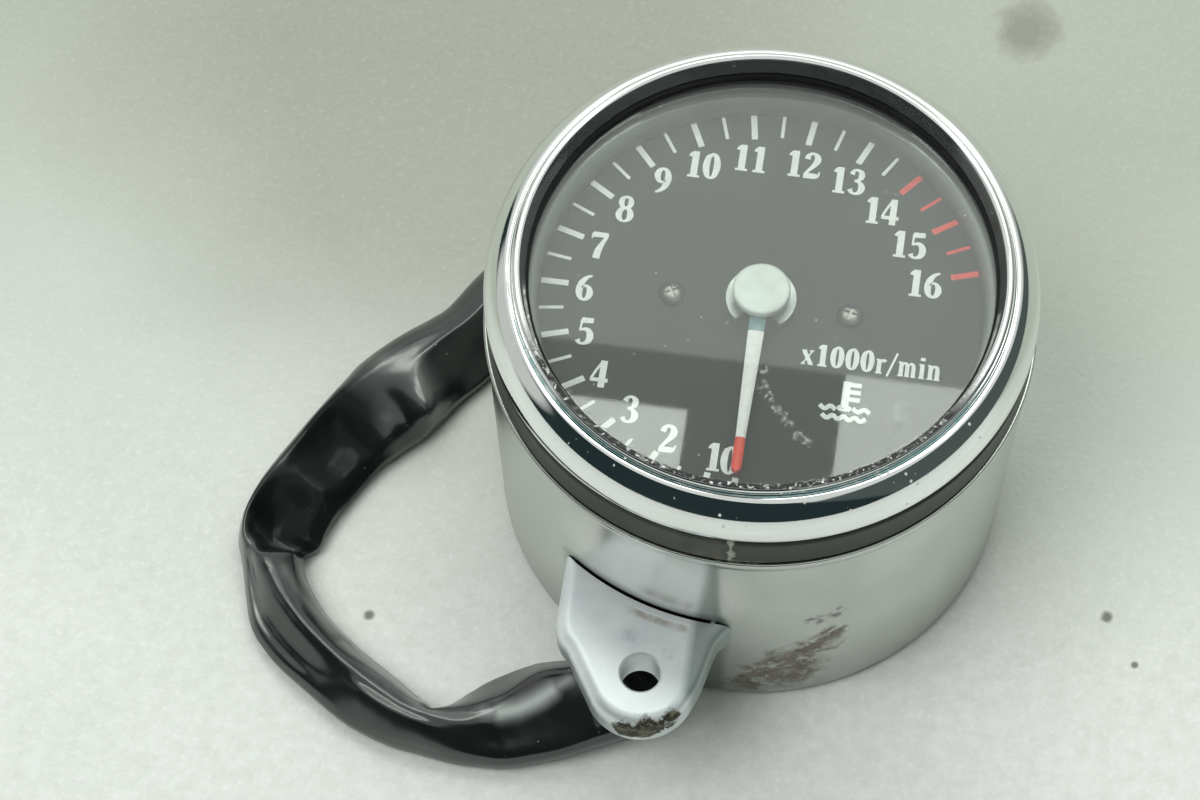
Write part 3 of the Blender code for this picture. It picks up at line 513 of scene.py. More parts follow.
SURFACES = {
    "chrome": chrome_surface(),
    "satin_chrome": satin_surface(),
    "lug_metal": lug_surface(),
    "seal": rubber_surface("seal_rubber", (0.046, 0.052, 0.042), 0.5, chip=True),
    "rubber": rubber_surface("moulded_rubber", (0.007, 0.008, 0.008), 0.6),
    "vinyl": vinyl_surface(),
    "dial_black": dial_surface(),
    "print_white": print_surface("dial_print_white", (0.90, 0.92, 0.90)),
    "print_red": print_surface("dial_print_red", (0.85, 0.05, 0.02)),
    "glass": clear_surface("lens_glass", (0.975, 0.99, 0.98), 0.03),
    "lamp_glass": clear_surface("bulb_glass", (0.97, 0.97, 0.95), 0.01),
    "grey_plastic": ring_surface(),
    "needle_white": print_surface("needle_white", (0.95, 0.95, 0.93)),
    "needle_red": print_surface("needle_red", (0.90, 0.07, 0.03)),
    "floor": floor_surface(),
}
# Material name, colour, roughness and metallic share.
MOULDED = {
    "white_plastic": ("white_plastic", (0.74, 0.73, 0.68), 0.4),
    "black_plastic": ("black_plastic", (0.02, 0.02, 0.02), 0.4),
    "acrylic": ("needle_acrylic", (0.20, 0.36, 0.36), 0.12),
    "silver": ("cap_silver", (0.80, 0.86, 0.82), 0.45, 0.1),
    "screw_steel": ("screw_steel", (0.30, 0.29, 0.27), 0.3, 1.0),
    "steel": ("plated_steel", (0.50, 0.49, 0.46), 0.33, 1.0),
    "brass": ("brass", (0.66, 0.50, 0.22), 0.3, 1.0),
    "copper": ("copper_wire", (0.66, 0.32, 0.16), 0.32, 1.0),
    "magnet": ("magnet", (0.13, 0.13, 0.14), 0.5, 0.6),
    "board_green": ("board_green", (0.03, 0.17, 0.07), 0.35),
    "white_metal": ("counterweight_plate", (0.52, 0.55, 0.53), 0.4, 0.8),
}
for key, look in MOULDED.items():
    SURFACES[key] = moulded_surface(*look)


# ---------------------------------------------------------------- mesh helpers
def finish_piece(name, bm, surface, replaced=None, body=CASE, sharp=40.0):
    """A bmesh in millimetres becomes a piece in metres that rides on a body."""
    bmesh.ops.recalc_face_normals(bm, faces=bm.faces)
    bmesh.ops.scale(bm, vec=(MM, MM, MM), verts=bm.verts)
    mesh = bpy.data.meshes.new(name)
    bm.to_mesh(mesh)
    bm.free()
    mesh.shade_smooth()
    mesh.set_sharp_from_angle(angle=math.radians(sharp))
    mesh.materials.append(SURFACES[surface])
    piece = bpy.data.objects.new(name, mesh)
    bpy.context.scene.collection.objects.link(piece)
    if body:
        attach(piece, body)
    if replaced:
        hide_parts(replaced)
    return piece


def skin(bm, sections, ring=False, capped=False):
    """Join rings of vertices; a section with one vertex is a pole. Capped closes the first and last."""
    pairs = list(zip(sections, sections[1:]))
    if ring:
        pairs.append((sections[-1], sections[0]))
    for low, high in pairs:
        count = max(len(low), len(high))
        for i in range(count):
            j = (i + 1) % count
            corners = [low[i % len(low)], low[j % len(low)], high[j % len(high)], high[i % len(high)]]
            face = list(dict.fromkeys(corners))
            if len(face) > 2:
                bm.faces.new(face)
    if capped:
        bm.faces.new(sections[0])
        bm.faces.new(sections[-1])


def softened(outline, closed=True, steps=4):
    """Round the corners of an outline of (x, y, cut); cut is how far from the corner the curve starts.

    A point just beyond each curve keeps the long flat runs flat in shading.
    """
    count = len(outline)
    points = []
    for i, (x, y, cut) in enumerate(outline):
        corner = Vector((x, y))
        if cut == 0.0 or (not closed and i in (0, count - 1)):
            points.append(corner)
            continue
        before = Vector(outline[i - 1][:2]) - corner
        after = Vector(outline[(i + 1) % count][:2]) - corner
        start = corner + before.normalized() * min(cut, 0.48 * before.length)
        end = corner + after.normalized() * min(cut, 0.48 * after.length)
        if before.length > 4.0 * cut:
            points.append(corner + before.normalized() * 1.5 * cut)
        for k in range(steps + 1):
            t = k / steps
            points.append(start * (1.0 - t) ** 2 + corner * 2.0 * t * (1.0 - t) + end * t ** 2)
        if after.length > 4.0 * cut:
            points.append(corner + after.normalized() * 1.5 * cut)
    return [(p.x, p.y) for p in points]


def lathe_mesh(profile, segments=192, centre=(0.0, 0.0)):
    bm = bmesh.new()
    sections = []
    for radius, height in profile:
        if abs(radius) < 1e-6:
            sections.append([bm.verts.new((centre[0], centre[1], height))])
            continue
        ring = []
        for i in range(segments):
            angle = 2.0 * math.pi * i / segments
            ring.append(bm.verts.new((centre[0] + radius * math.cos(angle),
                                      centre[1] + radius * math.sin(angle), height)))
        sections.append(ring)
    skin(bm, sections, ring=abs(profile[0][0]) > 1e-6)
    return bm


def prism_mesh(outline, low, high):
    bm = bmesh.new()
    base = [bm.verts.new((x, y, low)) for x, y in outline]
    top = [bm.verts.new((x, y, high)) for x, y in outline]
    bm.faces.new(base[::-1])
    bm.faces.new(top)
    skin(bm, [base, top])
    return bm


def box_mesh(size, centre, turn=0.0, bevel=0.0, segments=3):
    bm = bmesh.new()
    bmesh.ops.create_cube(bm, size=1.0)
    bmesh.ops.scale(bm, vec=size, verts=bm.verts)
    if bevel:
        bmesh.ops.bevel(bm, geom=bm.edges[:], offset=bevel, segments=segments, profile=0.5, affect="EDGES")
    bmesh.ops.rotate(bm, cent=(0.0, 0.0, 0.0), matrix=Matrix.Rotation(turn, 3, "Z"), verts=bm.verts)
    bmesh.ops.translate(bm, vec=centre, verts=bm.verts)
    return bm


def add_mesh(bm, other):
    """Add the faces of one bmesh to another."""
    mesh = bpy.data.meshes.new("joined")
    other.to_mesh(mesh)
    other.free()
    bm.from_mesh(mesh)
    bpy.data.meshes.remove(mesh)


def subtract(piece, *tools):
    """Cut tool meshes, in millimetres, out of a piece and keep its shading."""
    for bm in tools:
        bmesh.ops.recalc_face_normals(bm, faces=bm.faces)
        bmesh.ops.scale(bm, vec=(MM, MM, MM), verts=bm.verts)
        mesh = bpy.data.meshes.new("tool")
        bm.to_mesh(mesh)
        bm.free()
        tool = bpy.data.objects.new("tool", mesh)
        bpy.context.scene.collection.objects.link(tool)
        boolean = piece.modifiers.new("cut", "BOOLEAN")
        boolean.operation = "DIFFERENCE"
        boolean.solver = "EXACT"
        boolean.object = tool
        cut_mesh = bpy.data.meshes.new_from_object(
            piece.evaluated_get(bpy.context.evaluated_depsgraph_get()))
        piece.modifiers.remove(boolean)
        piece.data = cut_mesh
        bpy.data.objects.remove(tool)
    piece.data.shade_smooth()
    piece.data.set_sharp_from_angle(angle=math.radians(32.0))


def level_normals(piece):
    """Keep big flat faces flat where they meet rounded edges."""
    weighted = piece.modifiers.new("weighted", "WEIGHTED_NORMAL")
    weighted.keep_sharp = True
    mesh = bpy.data.meshes.new_from_object(piece.evaluated_get(bpy.context.evaluated_depsgraph_get()))
    piece.modifiers.remove(weighted)
    piece.data = mesh


def catmull(points, per_span):
    """Points on the Catmull-Rom curve through tuples or vectors of any length."""
    rows = [tuple(p) for p in points]
    first = tuple(2.0 * a - b for a, b in zip(rows[0], rows[1]))
    last = tuple(2.0 * a - b for a, b in zip(rows[-1], rows[-2]))
    ends = [first] + rows + [last]
    curve = []
    for a, b, c, d in zip(ends, ends[1:], ends[2:], ends[3:]):
        for i in range(per_span):
            t = i / per_span
            curve.append(tuple(0.5 * (2.0 * q + (r - p) * t + (2.0 * p - 5.0 * q + 4.0 * r - w) * t ** 2
                                      + (3.0 * q - p - 3.0 * r + w) * t ** 3)
                               for p, q, r, w in zip(a, b, c, d)))
    curve.append(rows[-1])
    return curve


def arc(centre, radius, start, end, steps):
    return [(centre[0] + radius * math.cos(start + (end - start) * i / steps),
             centre[1] + radius * math.sin(start + (end - start) * i / steps)) for i in range(steps + 1)]


def polar(radius, angle, height=0.0):
    return Vector((radius * math.cos(angle), radius * math.sin(angle), height))


# ---------------------------------------------------------------- the lead
OUTLET_ANGLE = math.radians(-106.0)
OUTLET_TURN = math.radians(-44.0)
OUTLET_BEND_R = 9.0
OUTLET_Z = 7.6
SLEEVE_HALF_WIDTH = 7.7
SLEEVE_HALF_HEIGHT = 4.1


def boot_bend(share):
    """Centre and heading on the boot's bend, from the cup's wall to its mouth."""
    start = polar(44.6, OUTLET_ANGLE, OUTLET_Z)
    side = Vector((math.sin(OUTLET_ANGLE), -math.cos(OUTLET_ANGLE), 0.0))
    centre = start + side * OUTLET_BEND_R
    heading = OUTLET_ANGLE + OUTLET_TURN * share
    across = Vector((math.sin(heading), -math.cos(heading), 0.0))
    return centre - across * OUTLET_BEND_R, heading


def lead_route():
    """The sleeve's centreline: out of the boot, round to the left and behind the cup."""
    centre, heading = boot_bend(1.0)
    start = centre + polar(2.0 * GAP, heading)
    on_table = SLEEVE_HALF_HEIGHT + 0.2
    points = [start, start + polar(3.0, heading)]
    bends = ((-27.2, -53.4), (-34.9, -56.2), (-42.4, -57.4), (-49.8, -56.2), (-57.0, -52.4), (-63.9, -47.4),
             (-70.6, -41.6), (-75.9, -34.9), (-78.2, -27.4), (-76.7, -19.6), (-73.0, -11.8), (-68.6, -4.2),
             (-63.6, 3.0), (-57.6, 9.8), (-51.4, 16.8), (-46.4, 25.0), (-40.2, 33.0), (-32.4, 40.6),
             (-23.6, 46.8), (-14.0, 51.2))
    drop = (1.6, 0.5)
    for i, (x, y) in enumerate(bends):
        extra = drop[i] if i < len(drop) else 0.0
        points.append(Vector((x, y, on_table + extra)))
    return points


# Along the sleeve: share of its length, half width on the outer and on the inner side of the bend.
SLEEVE_WIDTHS = (
    (0.0, 7.2, 7.2), (0.03, 6.9, 8.8), (0.064, 6.6, 10.3), (0.087, 6.2, 10.2), (0.109, 5.9, 9.7),
    (0.131, 5.0, 8.3), (0.151, 4.5, 6.4), (0.166, 4.2, 3.8), (0.174, 4.2, 2.9), (0.184, 4.4, 3.9),
    (0.215, 5.6, 4.9), (0.238, 6.3, 5.1), (0.285, 6.8, 4.7), (0.333, 7.4, 4.5), (0.357, 7.2, 4.8),
    (0.381, 5.8, 4.9), (0.403, 5.2, 5.2), (0.414, 5.4, 5.6), (0.424, 6.0, 7.4), (0.446, 6.6, 7.8),
    (0.54, 7.0, 7.8), (0.588, 7.4, 9.0), (0.612, 7.8, 9.7), (0.637, 7.8, 9.2), (0.662, 7.7, 8.3),
    (0.688, 7.3, 7.9), (0.714, 6.8, 7.5), (0.8, 7.0, 7.5), (0.9, 7.4, 7.4), (1.0, 7.2, 7.2))
# The upper skin: share of the length, then where seven points of it stand across (1 is the outer
# edge, -1 the inner one) and how high they are.
SLEEVE_SKIN = (
    (0.000, 1.0, 4.5, 0.86, 6.2, 0.40, 7.9, -0.16, 9.3, -0.36, 9.5, -0.56, 9.3, -1.0, 4.5),
    (0.060, 1.0, 4.0, 0.86, 5.5, 0.35, 7.2, -0.26, 9.3, -0.43, 9.45, -0.62, 9.2, -1.0, 3.6),
    (0.110, 1.0, 3.8, 0.86, 5.4, 0.40, 6.9, -0.06, 8.8, -0.24, 9.1, -0.42, 8.9, -1.0, 3.0),
    (0.150, 1.0, 3.8, 0.86, 5.8, 0.50, 7.8, 0.12, 9.0, -0.14, 9.1, -0.48, 8.1, -1.0, 3.2),
    (0.172, 1.0, 4.0, 0.86, 6.4, 0.42, 8.8, 0.10, 9.15, -0.20, 9.2, -0.60, 8.6, -1.0, 5.0),
    (0.195, 1.0, 3.8, 0.86, 6.0, 0.42, 8.9, 0.10, 9.16, -0.16, 9.14, -0.55, 8.0, -1.0, 3.6),
    (0.240, 1.0, 3.4, 0.86, 5.0, 0.42, 8.6, 0.14, 9.05, -0.10, 9.08, -0.55, 7.6, -1.0, 3.0),
    (0.290, 1.0, 3.0, 0.88, 4.7, 0.60, 5.7, 0.22, 9.0, -0.06, 9.12, -0.70, 6.0, -1.0, 3.0),
    (0.340, 1.0, 2.6, 0.88, 4.2, 0.60, 4.9, 0.22, 8.9, -0.06, 9.02, -0.70, 6.2, -1.0, 3.0),
    (0.380, 1.0, 2.4, 0.88, 4.2, 0.66, 4.8, 0.32, 8.6, -0.05, 8.9, -0.70, 6.8, -1.0, 3.2),
    (0.403, 1.0, 2.8, 0.88, 4.8, 0.72, 5.6, 0.50, 8.4, 0.10, 8.7, -0.65, 7.0, -1.0, 3.4),
    (0.418, 1.0, 3.0, 0.90, 6.0, 0.78, 7.6, 0.50, 7.0, 0.05, 4.6, -0.60, 3.4, -1.0, 2.4),
    (0.435, 1.0, 3.2, 0.90, 6.4, 0.78, 7.8, 0.45, 5.6, 0.00, 4.0, -0.60, 4.6, -1.0, 3.0),
    (0.465, 1.0, 3.2, 0.88, 6.4, 0.72, 8.0, 0.35, 6.2, -0.10, 4.9, -0.60, 5.4, -1.0, 3.2),
    (0.490, 1.0, 3.2, 0.86, 6.4, 0.66, 8.4, 0.30, 7.6, -0.15, 6.9, -0.65, 6.2, -1.0, 3.2),
    (0.520, 1.0, 3.2, 0.86, 6.4, 0.64, 8.4, 0.30, 6.8, -0.20, 5.4, -0.70, 5.0, -1.0, 3.2),
    (0.550, 1.0, 3.2, 0.86, 6.6, 0.64, 8.8, 0.30, 6.9, -0.20, 5.5, -0.72, 5.2, -1.0, 3.4),
    (0.575, 1.0, 3.4, 0.86, 6.8, 0.60, 9.2, 0.25, 8.6, -0.25, 7.6, -0.75, 6.8, -1.0, 3.4),
    (0.600, 1.0, 3.4, 0.86, 7.0, 0.55, 9.8, 0.20, 9.7, -0.25, 8.4, -0.75, 7.4, -1.0, 3.6),
    (0.625, 1.0, 3.6, 0.85, 7.4, 0.50, 10.2, 0.10, 10.3, -0.40, 9.8, -0.90, 9.0, -1.0, 4.6),
    (0.650, 1.0, 3.8, 0.82, 7.6, 0.45, 10.2, 0.10, 10.5, -0.20, 10.1, -0.80, 6.8, -1.0, 3.6),
    (0.690, 1.0, 3.8, 0.80, 7.0, 0.40, 9.8, 0.10, 10.6, -0.10, 10.4, -0.65, 5.8, -1.0, 3.2),
    (0.760, 1.0, 3.8, 0.80, 7.0, 0.42, 9.6, 0.10, 10.6, -0.12, 10.2, -0.62, 6.2, -1.0, 3.2),
    (0.850, 1.0, 4.0, 0.80, 7.0, 0.45, 9.4, 0.05, 10.2, -0.20, 9.8, -0.65, 6.6, -1.0, 3.6),
    (1.000, 1.0, 4.5, 0.86, 7.2, 0.55, 8.8, 0.00, 9.2, -0.50, 8.8, -0.84, 7.2, -1.0, 4.5),
)


def row_at(rows, share):
    """Values at a share of the length, on a smooth curve through the rows of a table."""
    last = len(rows) - 1
    i = 0
    while i < last - 1 and share > rows[i + 1][0]:
        i += 1
    low, high = rows[i], rows[i + 1]
    before, after = rows[max(i - 1, 0)], rows[min(i + 2, last)]
    span = high[0] - low[0]
    t = max(0.0, min(1.0, (share - low[0]) / span))
    values = []
    for a, b, c, d in zip(before[1:], low[1:], high[1:], after[1:]):
        slope_low = (c - a) / (high[0] - before[0]) * span
        slope_high = (d - b) / (after[0] - low[0]) * span
        if (b - a) * (c - b) <= 0.0:
            slope_low = 0.0
        if (c - b) * (d - c) <= 0.0:
            slope_high = 0.0
        values.append((2 * t ** 3 - 3 * t ** 2 + 1) * b + (t ** 3 - 2 * t ** 2 + t) * slope_low
                      + (3 * t ** 2 - 2 * t ** 3) * c + (t ** 3 - t ** 2) * slope_high)
    return values


def sleeve_ring(bm, centre, tangent, share):
    """One ring of the crumpled sleeve: the upper skin from its table and a flat underside."""
    outer, inner = row_at(SLEEVE_WIDTHS, share)
    flat = row_at(SLEEVE_SKIN, share)
    controls = list(zip(flat[0::2], flat[1::2]))
    upper = catmull(controls, 7)
    floor_z = 0.25
    foot = 0.80
    lower = [(-0.985, 0.45 * controls[-1][1] + 0.3), (-0.93, 0.9), (-foot, floor_z + 0.1)]
    lower += [(foot * (2.0 * i / 6.0 - 1.0), floor_z) for i in range(1, 6)]
    lower += [(foot, floor_z + 0.1), (0.93, 0.9), (0.985, 0.45 * controls[0][1] + 0.3)]
    lift = centre.z - (SLEEVE_HALF_HEIGHT + 0.2)
    left = Vector((-tangent.y, tangent.x, 0.0)).normalized()
    ring = []
    for u, height in upper + lower:
        spot = centre + left * (u * (outer if u > 0.0 else inner))
        crumple = noise.noise(Vector((spot.x * 0.22, spot.y * 0.22, 3.0))) * 0.07
        crumple += noise.noise(Vector((spot.x * 0.6, spot.y * 0.6, 9.0))) * 0.04
        point = spot
        point.z = max(0.12, height + lift + (crumple if height > 2.0 else 0.0))
        ring.append(bm.verts.new(point))
    return ring


def make_sleeve():
    route = lead_route()
    line = [Vector(p) for p in catmull(route, 12)]
    lengths = [0.0]
    for a, b in zip(line, line[1:]):
        lengths.append(lengths[-1] + (b - a).length)
    total = lengths[-1]
    bm = bmesh.new()
    rings = []
    for i, point in enumerate(line):
        ahead = line[min(i + 1, len(line) - 1)] - line[max(i - 1, 0)]
        rings.append(sleeve_ring(bm, point, ahead, lengths[i] / total))
    skin(bm, rings)
    lip_share, depth = 0.14, 5.0
    for end, step in ((rings[0], line[1] - line[0]), (rings[-1], line[-2] - line[-1])):
        middle = sum((v.co for v in end), Vector()) / len(end)
        rim = [bm.verts.new(v.co * (1.0 - lip_share) + middle * lip_share) for v in end]
        deep = [bm.verts.new(v.co + step.normalized() * depth) for v in rim]
        skin(bm, [end, rim, deep])
        bm.faces.new(deep)
    sleeve = finish_piece("loom_sleeve", bm, "vinyl", "harness_sleeve", sharp=60.0)
    return sleeve, line, total


def tube_mesh(points, radius, around=14):
    """A round wire along a smooth line of points, its ends closed."""
    bm = bmesh.new()
    rings = []
    for i, point in enumerate(points):
        ahead = (points[min(i + 1, len(points) - 1)] - points[max(i - 1, 0)]).normalized()
        side = ahead.cross(Vector((0.0, 0.0, 1.0))).normalized()
        up = side.cross(ahead)
        rings.append([bm.verts.new(point + side * (radius * math.cos(2.0 * math.pi * k / around))
                                   + up * (radius * math.sin(2.0 * math.pi * k / around)))
                      for k in range(around)])
    skin(bm, rings, capped=True)
    return bm


WIRE_COLOURS = (("black", (0.012, 0.012, 0.012)), ("red", (0.42, 0.02, 0.015)),
                ("yellow", (0.62, 0.47, 0.03)), ("green", (0.02, 0.20, 0.06)), ("blue", (0.02, 0.08, 0.34)),
                ("white", (0.66, 0.66, 0.60)))


def make_wires(route):
    """Six coloured leads from the sleeve's mouth into the plug."""
    ahead = (route[-1] - route[-2]).normalized()
    heading = math.atan2(ahead.y, ahead.x)
    plug_turn = heading - 0.2
    start = route[-1] - ahead * 4.0
    wires_end = route[-1] + ahead * GAP + polar(13.0, heading - 0.12)
    across_start = Vector((-ahead.y, ahead.x, 0.0))
    across_end = Vector((-math.sin(plug_turn), math.cos(plug_turn), 0.0))
    pieces = []
    for i, (name, colour) in enumerate(WIRE_COLOURS):
        column, row = i % 3 - 1, i // 3
        first = start + across_start * (2.6 * column + 0.9 * row) + Vector((0.0, 0.0, 1.9 * row - 0.6))
        last = wires_end + across_end * (3.4 * column) + Vector((0.0, 0.0, 3.0 * row - 0.8))
        last += polar(1.6, plug_turn)
        wander = across_start * (0.8 * math.sin(2.1 * i)) + Vector((0.0, 0.0, 0.7 * math.cos(1.7 * i)))
        middle = first.lerp(last, 0.52) + wander
        bends = [first, first.lerp(middle, 0.5), middle, middle.lerp(last, 0.6), last]
        points = [Vector(p) for p in catmull(bends, 6)]
        SURFACES["wire_" + name] = moulded_surface("wire_" + name, colour, 0.35)
        pieces.append(finish_piece("lead_wire_" + name, tube_mesh(points, 0.95), "wire_" + name))
    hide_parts("harness_wires")
    return pieces, wires_end, plug_turn


def make_plug(wires_end, turn):
    """A six-way nylon connector: housing with two rows of cavities, collar, ribs and latch."""
    low, high = lowest("plug_housing"), highest("plug_housing")
    length, width = 20.0, 15.0
    tall = high.z - low.z
    centre = wires_end + polar(0.5 * length + GAP + 0.4, turn)
    centre.z = 0.5 * (low.z + high.z)
    bm = box_mesh((length, width, tall), (0.0, 0.0, 0.0), bevel=0.9)
    for x in (-8.6, -6.6):
        add_mesh(bm, box_mesh((0.9, width + 0.5, tall + 0.1), (x, 0.0, 0.0), bevel=0.25))
    for side in (-1.0, 1.0):
        add_mesh(bm, box_mesh((11.0, 0.9, 1.4), (2.5, side * (0.5 * width + 0.1), 0.0), bevel=0.3))
    place = Matrix.Translation(centre) @ Matrix.Rotation(turn, 4, "Z")
    bmesh.ops.transform(bm, matrix=place, verts=bm.verts)
    housing = finish_piece("plug_body", bm, "white_plastic", "plug_housing")
    tools = []
    for end, depth in ((1.0, 9.0), (-1.0, 3.0)):
        for column in (-1, 0, 1):
            for row in (-1.0, 1.0):
                spot = (end * (0.5 * length - 0.5 * depth + 0.5), 4.3 * column, 2.2 * row)
                hole = box_mesh((depth, 3.3, 3.0), spot, bevel=0.3, segments=2)
                bmesh.ops.transform(hole, matrix=place, verts=hole.verts)
                tools.append(hole)
    subtract(housing, *tools)
    latch_low, latch_top = lowest("plug_latch").z, highest("plug_latch").z
    thick = latch_top - latch_low
    latch = box_mesh((13.0, 4.0, 0.62 * thick), (0.0, 0.0, 0.1 * thick), bevel=0.3)
    add_mesh(latch, box_mesh((2.4, 4.0, 0.9 * thick), (-5.3, 0.0, 0.0), bevel=0.4))
    add_mesh(latch, box_mesh((1.6, 3.4, 0.3 * thick), (4.4, 0.0, 0.45 * thick), bevel=0.15))
    lift = Matrix.Translation((0.0, 0.0, 0.5 * (latch_low + latch_top) - centre.z))
    bmesh.ops.transform(latch, matrix=place @ lift, verts=latch.verts)
    tongue = finish_piece("plug_tongue", latch, "white_plastic", "plug_latch")
    return [housing, tongue]


def make_boot():
    """Moulded grommet: flange inside, groove at the wall, outer flange and a ribbed bend."""
    flange = (9.5, 5.5)
    neck = (SLEEVE_HALF_WIDTH + 0.6, 4.6)
    stem = (SLEEVE_HALF_WIDTH + 0.3, 4.4)
    rows = []
    for reach, size in ((37.8, (9.1, 5.1)), (38.2, flange), (39.8, flange), (40.0, neck), (43.1, neck),
                        (43.2, (9.2, 5.2)), (43.6, flange), (44.3, flange), (44.7, (9.1, 5.1))):
        rows.append((polar(reach, OUTLET_ANGLE, OUTLET_Z), OUTLET_ANGLE, size))
    steps = 24
    for i in range(1, steps + 1):
        share = i / steps
        centre, heading = boot_bend(share)
        rib = 0.35 * max(0.0, math.sin(2.0 * math.pi * 3.0 * share)) if share < 0.95 else 0.0
        rows.append((centre, heading, (stem[0] + rib, stem[1] + rib)))
    bm = bmesh.new()
    rings = []
    around = 48
    for centre, heading, (half_width, half_height) in rows:
        across = Vector((-math.sin(heading), math.cos(heading), 0.0))
        ring = []
        for k in range(around):
            angle = 2.0 * math.pi * k / around
            ring.append(bm.verts.new(centre + across * (half_width * math.cos(angle))
                                     + Vector((0.0, 0.0, half_height * math.sin(angle)))))
        rings.append(ring)
    skin(bm, rings, capped=True)
    finish_piece("cable_boot", bm, "rubber", "outlet_boot", sharp=50.0)


def make_lead():
    sleeve, line, total = make_sleeve()
    route = lead_route()
    wires, wires_end, plug_turn = make_wires(route)
    plug = make_plug(wires_end, plug_turn)


# ---------------------------------------------------------------- cup, lug and bezel
def cup_radius(height):
    return CUP_BOTTOM_R + (CUP_TOP_R - CUP_BOTTOM_R) * height / CUP_TAPER_Z


def outlet_matrix():
    """Local X across the outlet, Y up, Z straight out of the cup wall."""
    out = polar(1.0, OUTLET_ANGLE)
    basis = Matrix((Vector((-out.y, out.x, 0.0)), Vector((0.0, 0.0, 1.0)), out)).transposed().to_4x4()
    return Matrix.Translation((0.0, 0.0, OUTLET_Z)) @ basis


def make_cup():
    rim = CUP_RIM_Z
    wall, floor = 1.0, 1.6
    inner_top = rim - 1.0
    profile = softened([
        (0.0, 0.9, 0.0), (30.0, 0.9, 0.6), (31.0, 0.0, 0.5), (CUP_BOTTOM_R, 0.0, 3.0),
        (cup_radius(rim - 2.4), rim - 2.4, 0.4), (RIM_BEAD_R, rim - 1.3, 0.5), (RIM_BEAD_R, rim, 0.35),
        (41.9, rim, 0.1), (41.9, inner_top, 0.1), (cup_radius(inner_top) - wall, inner_top - 0.2, 0.2),
        (cup_radius(4.0) - wall, 4.0, 0.5), (CUP_BOTTOM_R - 3.0, floor, 0.5), (0.0, floor, 0.0)],
        closed=False, steps=6)
    cup = finish_piece("cup_shell", lathe_mesh(profile, 256), "satin_chrome", "cup")
    around = [(8.7 * math.cos(a), 5.0 * math.sin(a)) for a in (2.0 * math.pi * i / 32 for i in range(32))]
    outlet = prism_mesh(around, 36.0, 48.0)
    bmesh.ops.transform(outlet, matrix=outlet_matrix(), verts=outlet.verts)
    tools = [outlet]
    for degrees in (30.0, 150.0, 270.0):
        spot = polar(29.0, math.radians(degrees))
        recess = [(0.0, -0.5), (3.9, -0.5), (1.9, floor + 0.2), (0.0, floor + 0.2)]
        tools.append(lathe_mesh(recess, 32, (spot.x, spot.y)))
    subtract(cup, *tools)


LUG_HOLE = Vector((-11.6, -53.6))
LUG_SEAT_R = cup_radius(LUG_TOP_Z) + 0.02


def lug_plan():
    """The free edge of the lug, from its right corner at the cup round the tip to its left corner."""
    tip_r = 9.0
    left_x, shoulder_y = -26.4, -48.6
    reach = Vector((left_x, shoulder_y)) - LUG_HOLE
    tangent = math.atan2(reach.y, reach.x) + math.acos(tip_r / reach.length)
    left_y = -math.sqrt(LUG_SEAT_R ** 2 - left_x ** 2)
    points = [(1.6, -math.sqrt(LUG_SEAT_R ** 2 - 1.6 ** 2))]
    points += [(0.8, -44.7), (0.1, -45.4), (-0.4, -46.4), (-0.8, -48.0), (-1.3, -50.4), (-1.9, -53.2),
               (-2.4, -55.0)]
    points += arc(LUG_HOLE, tip_r, -0.30, tangent - 2.0 * math.pi, 40)
    for x, y in ((2.6, -2.3), (1.4, -1.1), (0.55, 0.3), (0.1, 2.0), (0.0, 4.0)):
        points.append((left_x + x, shoulder_y + y))
    points += [(left_x, left_y - 2.0), (left_x, left_y)]
    return [Vector(p) for p in points]


def lug_ring(bm, plan, inset, height, steps=36):
    """The lug's outline drawn in from its free edge; along the cup it steps off by a share of that."""
    free = []
    last = len(plan) - 1
    for i, point in enumerate(plan):
        ahead = (plan[min(i + 1, last)] - plan[max(i - 1, 0)]).normalized()
        wide = 1.0 + 0.35 * max(0.0, min(1.0, (point.x - LUG_HOLE.x - 6.0) / 3.0))
        free.append(point + Vector((ahead.y, -ahead.x)) * inset * wide)
    seat = LUG_SEAT_R + 0.12 * inset
    first, final = free[0], free[-1]
    start = math.atan2(final.y, final.x)
    end = math.atan2(first.y, first.x)
    across = [Vector((seat * math.cos(start + (end - start) * k / steps),
                      seat * math.sin(start + (end - start) * k / steps))) for k in range(steps + 1)]
    outline = free[1:-1] + across
    return [bm.verts.new((p.x, p.y, height)) for p in outline]


def make_lug():
    """A plated tab with well rounded edges and a drilled hole, welded to the cup."""
    plan = lug_plan()
    edge_r, steps = 2.0, 7
    bm = bmesh.new()
    rings = [lug_ring(bm, plan, 0.8, LUG_LOW_Z), lug_ring(bm, plan, 0.2, LUG_LOW_Z + 0.2),
             lug_ring(bm, plan, 0.0, LUG_LOW_Z + 0.8)]
    for i in range(steps + 1):
        turn = 0.5 * math.pi * i / steps
        rings.append(lug_ring(bm, plan, edge_r * (1.0 - math.cos(turn)),
                              LUG_TOP_Z - edge_r * (1.0 - math.sin(turn))))
    rings.append(lug_ring(bm, plan, 1.2 * edge_r, LUG_TOP_Z))
    skin(bm, rings, capped=True)
    lug = finish_piece("lug_tab", bm, "lug_metal", "mounting_lug")
    hole_r, flare = 3.2, 0.35
    bore = [(0.0, LUG_LOW_Z - 1.0), (hole_r + flare + 1.0, LUG_LOW_Z - 1.0), (hole_r, LUG_LOW_Z + flare),
            (hole_r, LUG_TOP_Z - flare), (hole_r + flare, LUG_TOP_Z), (hole_r + flare + 1.0, LUG_TOP_Z + 1.0),
            (0.0, LUG_TOP_Z + 1.0)]
    subtract(lug, lathe_mesh(bore, 64, LUG_HOLE))
    level_normals(lug)


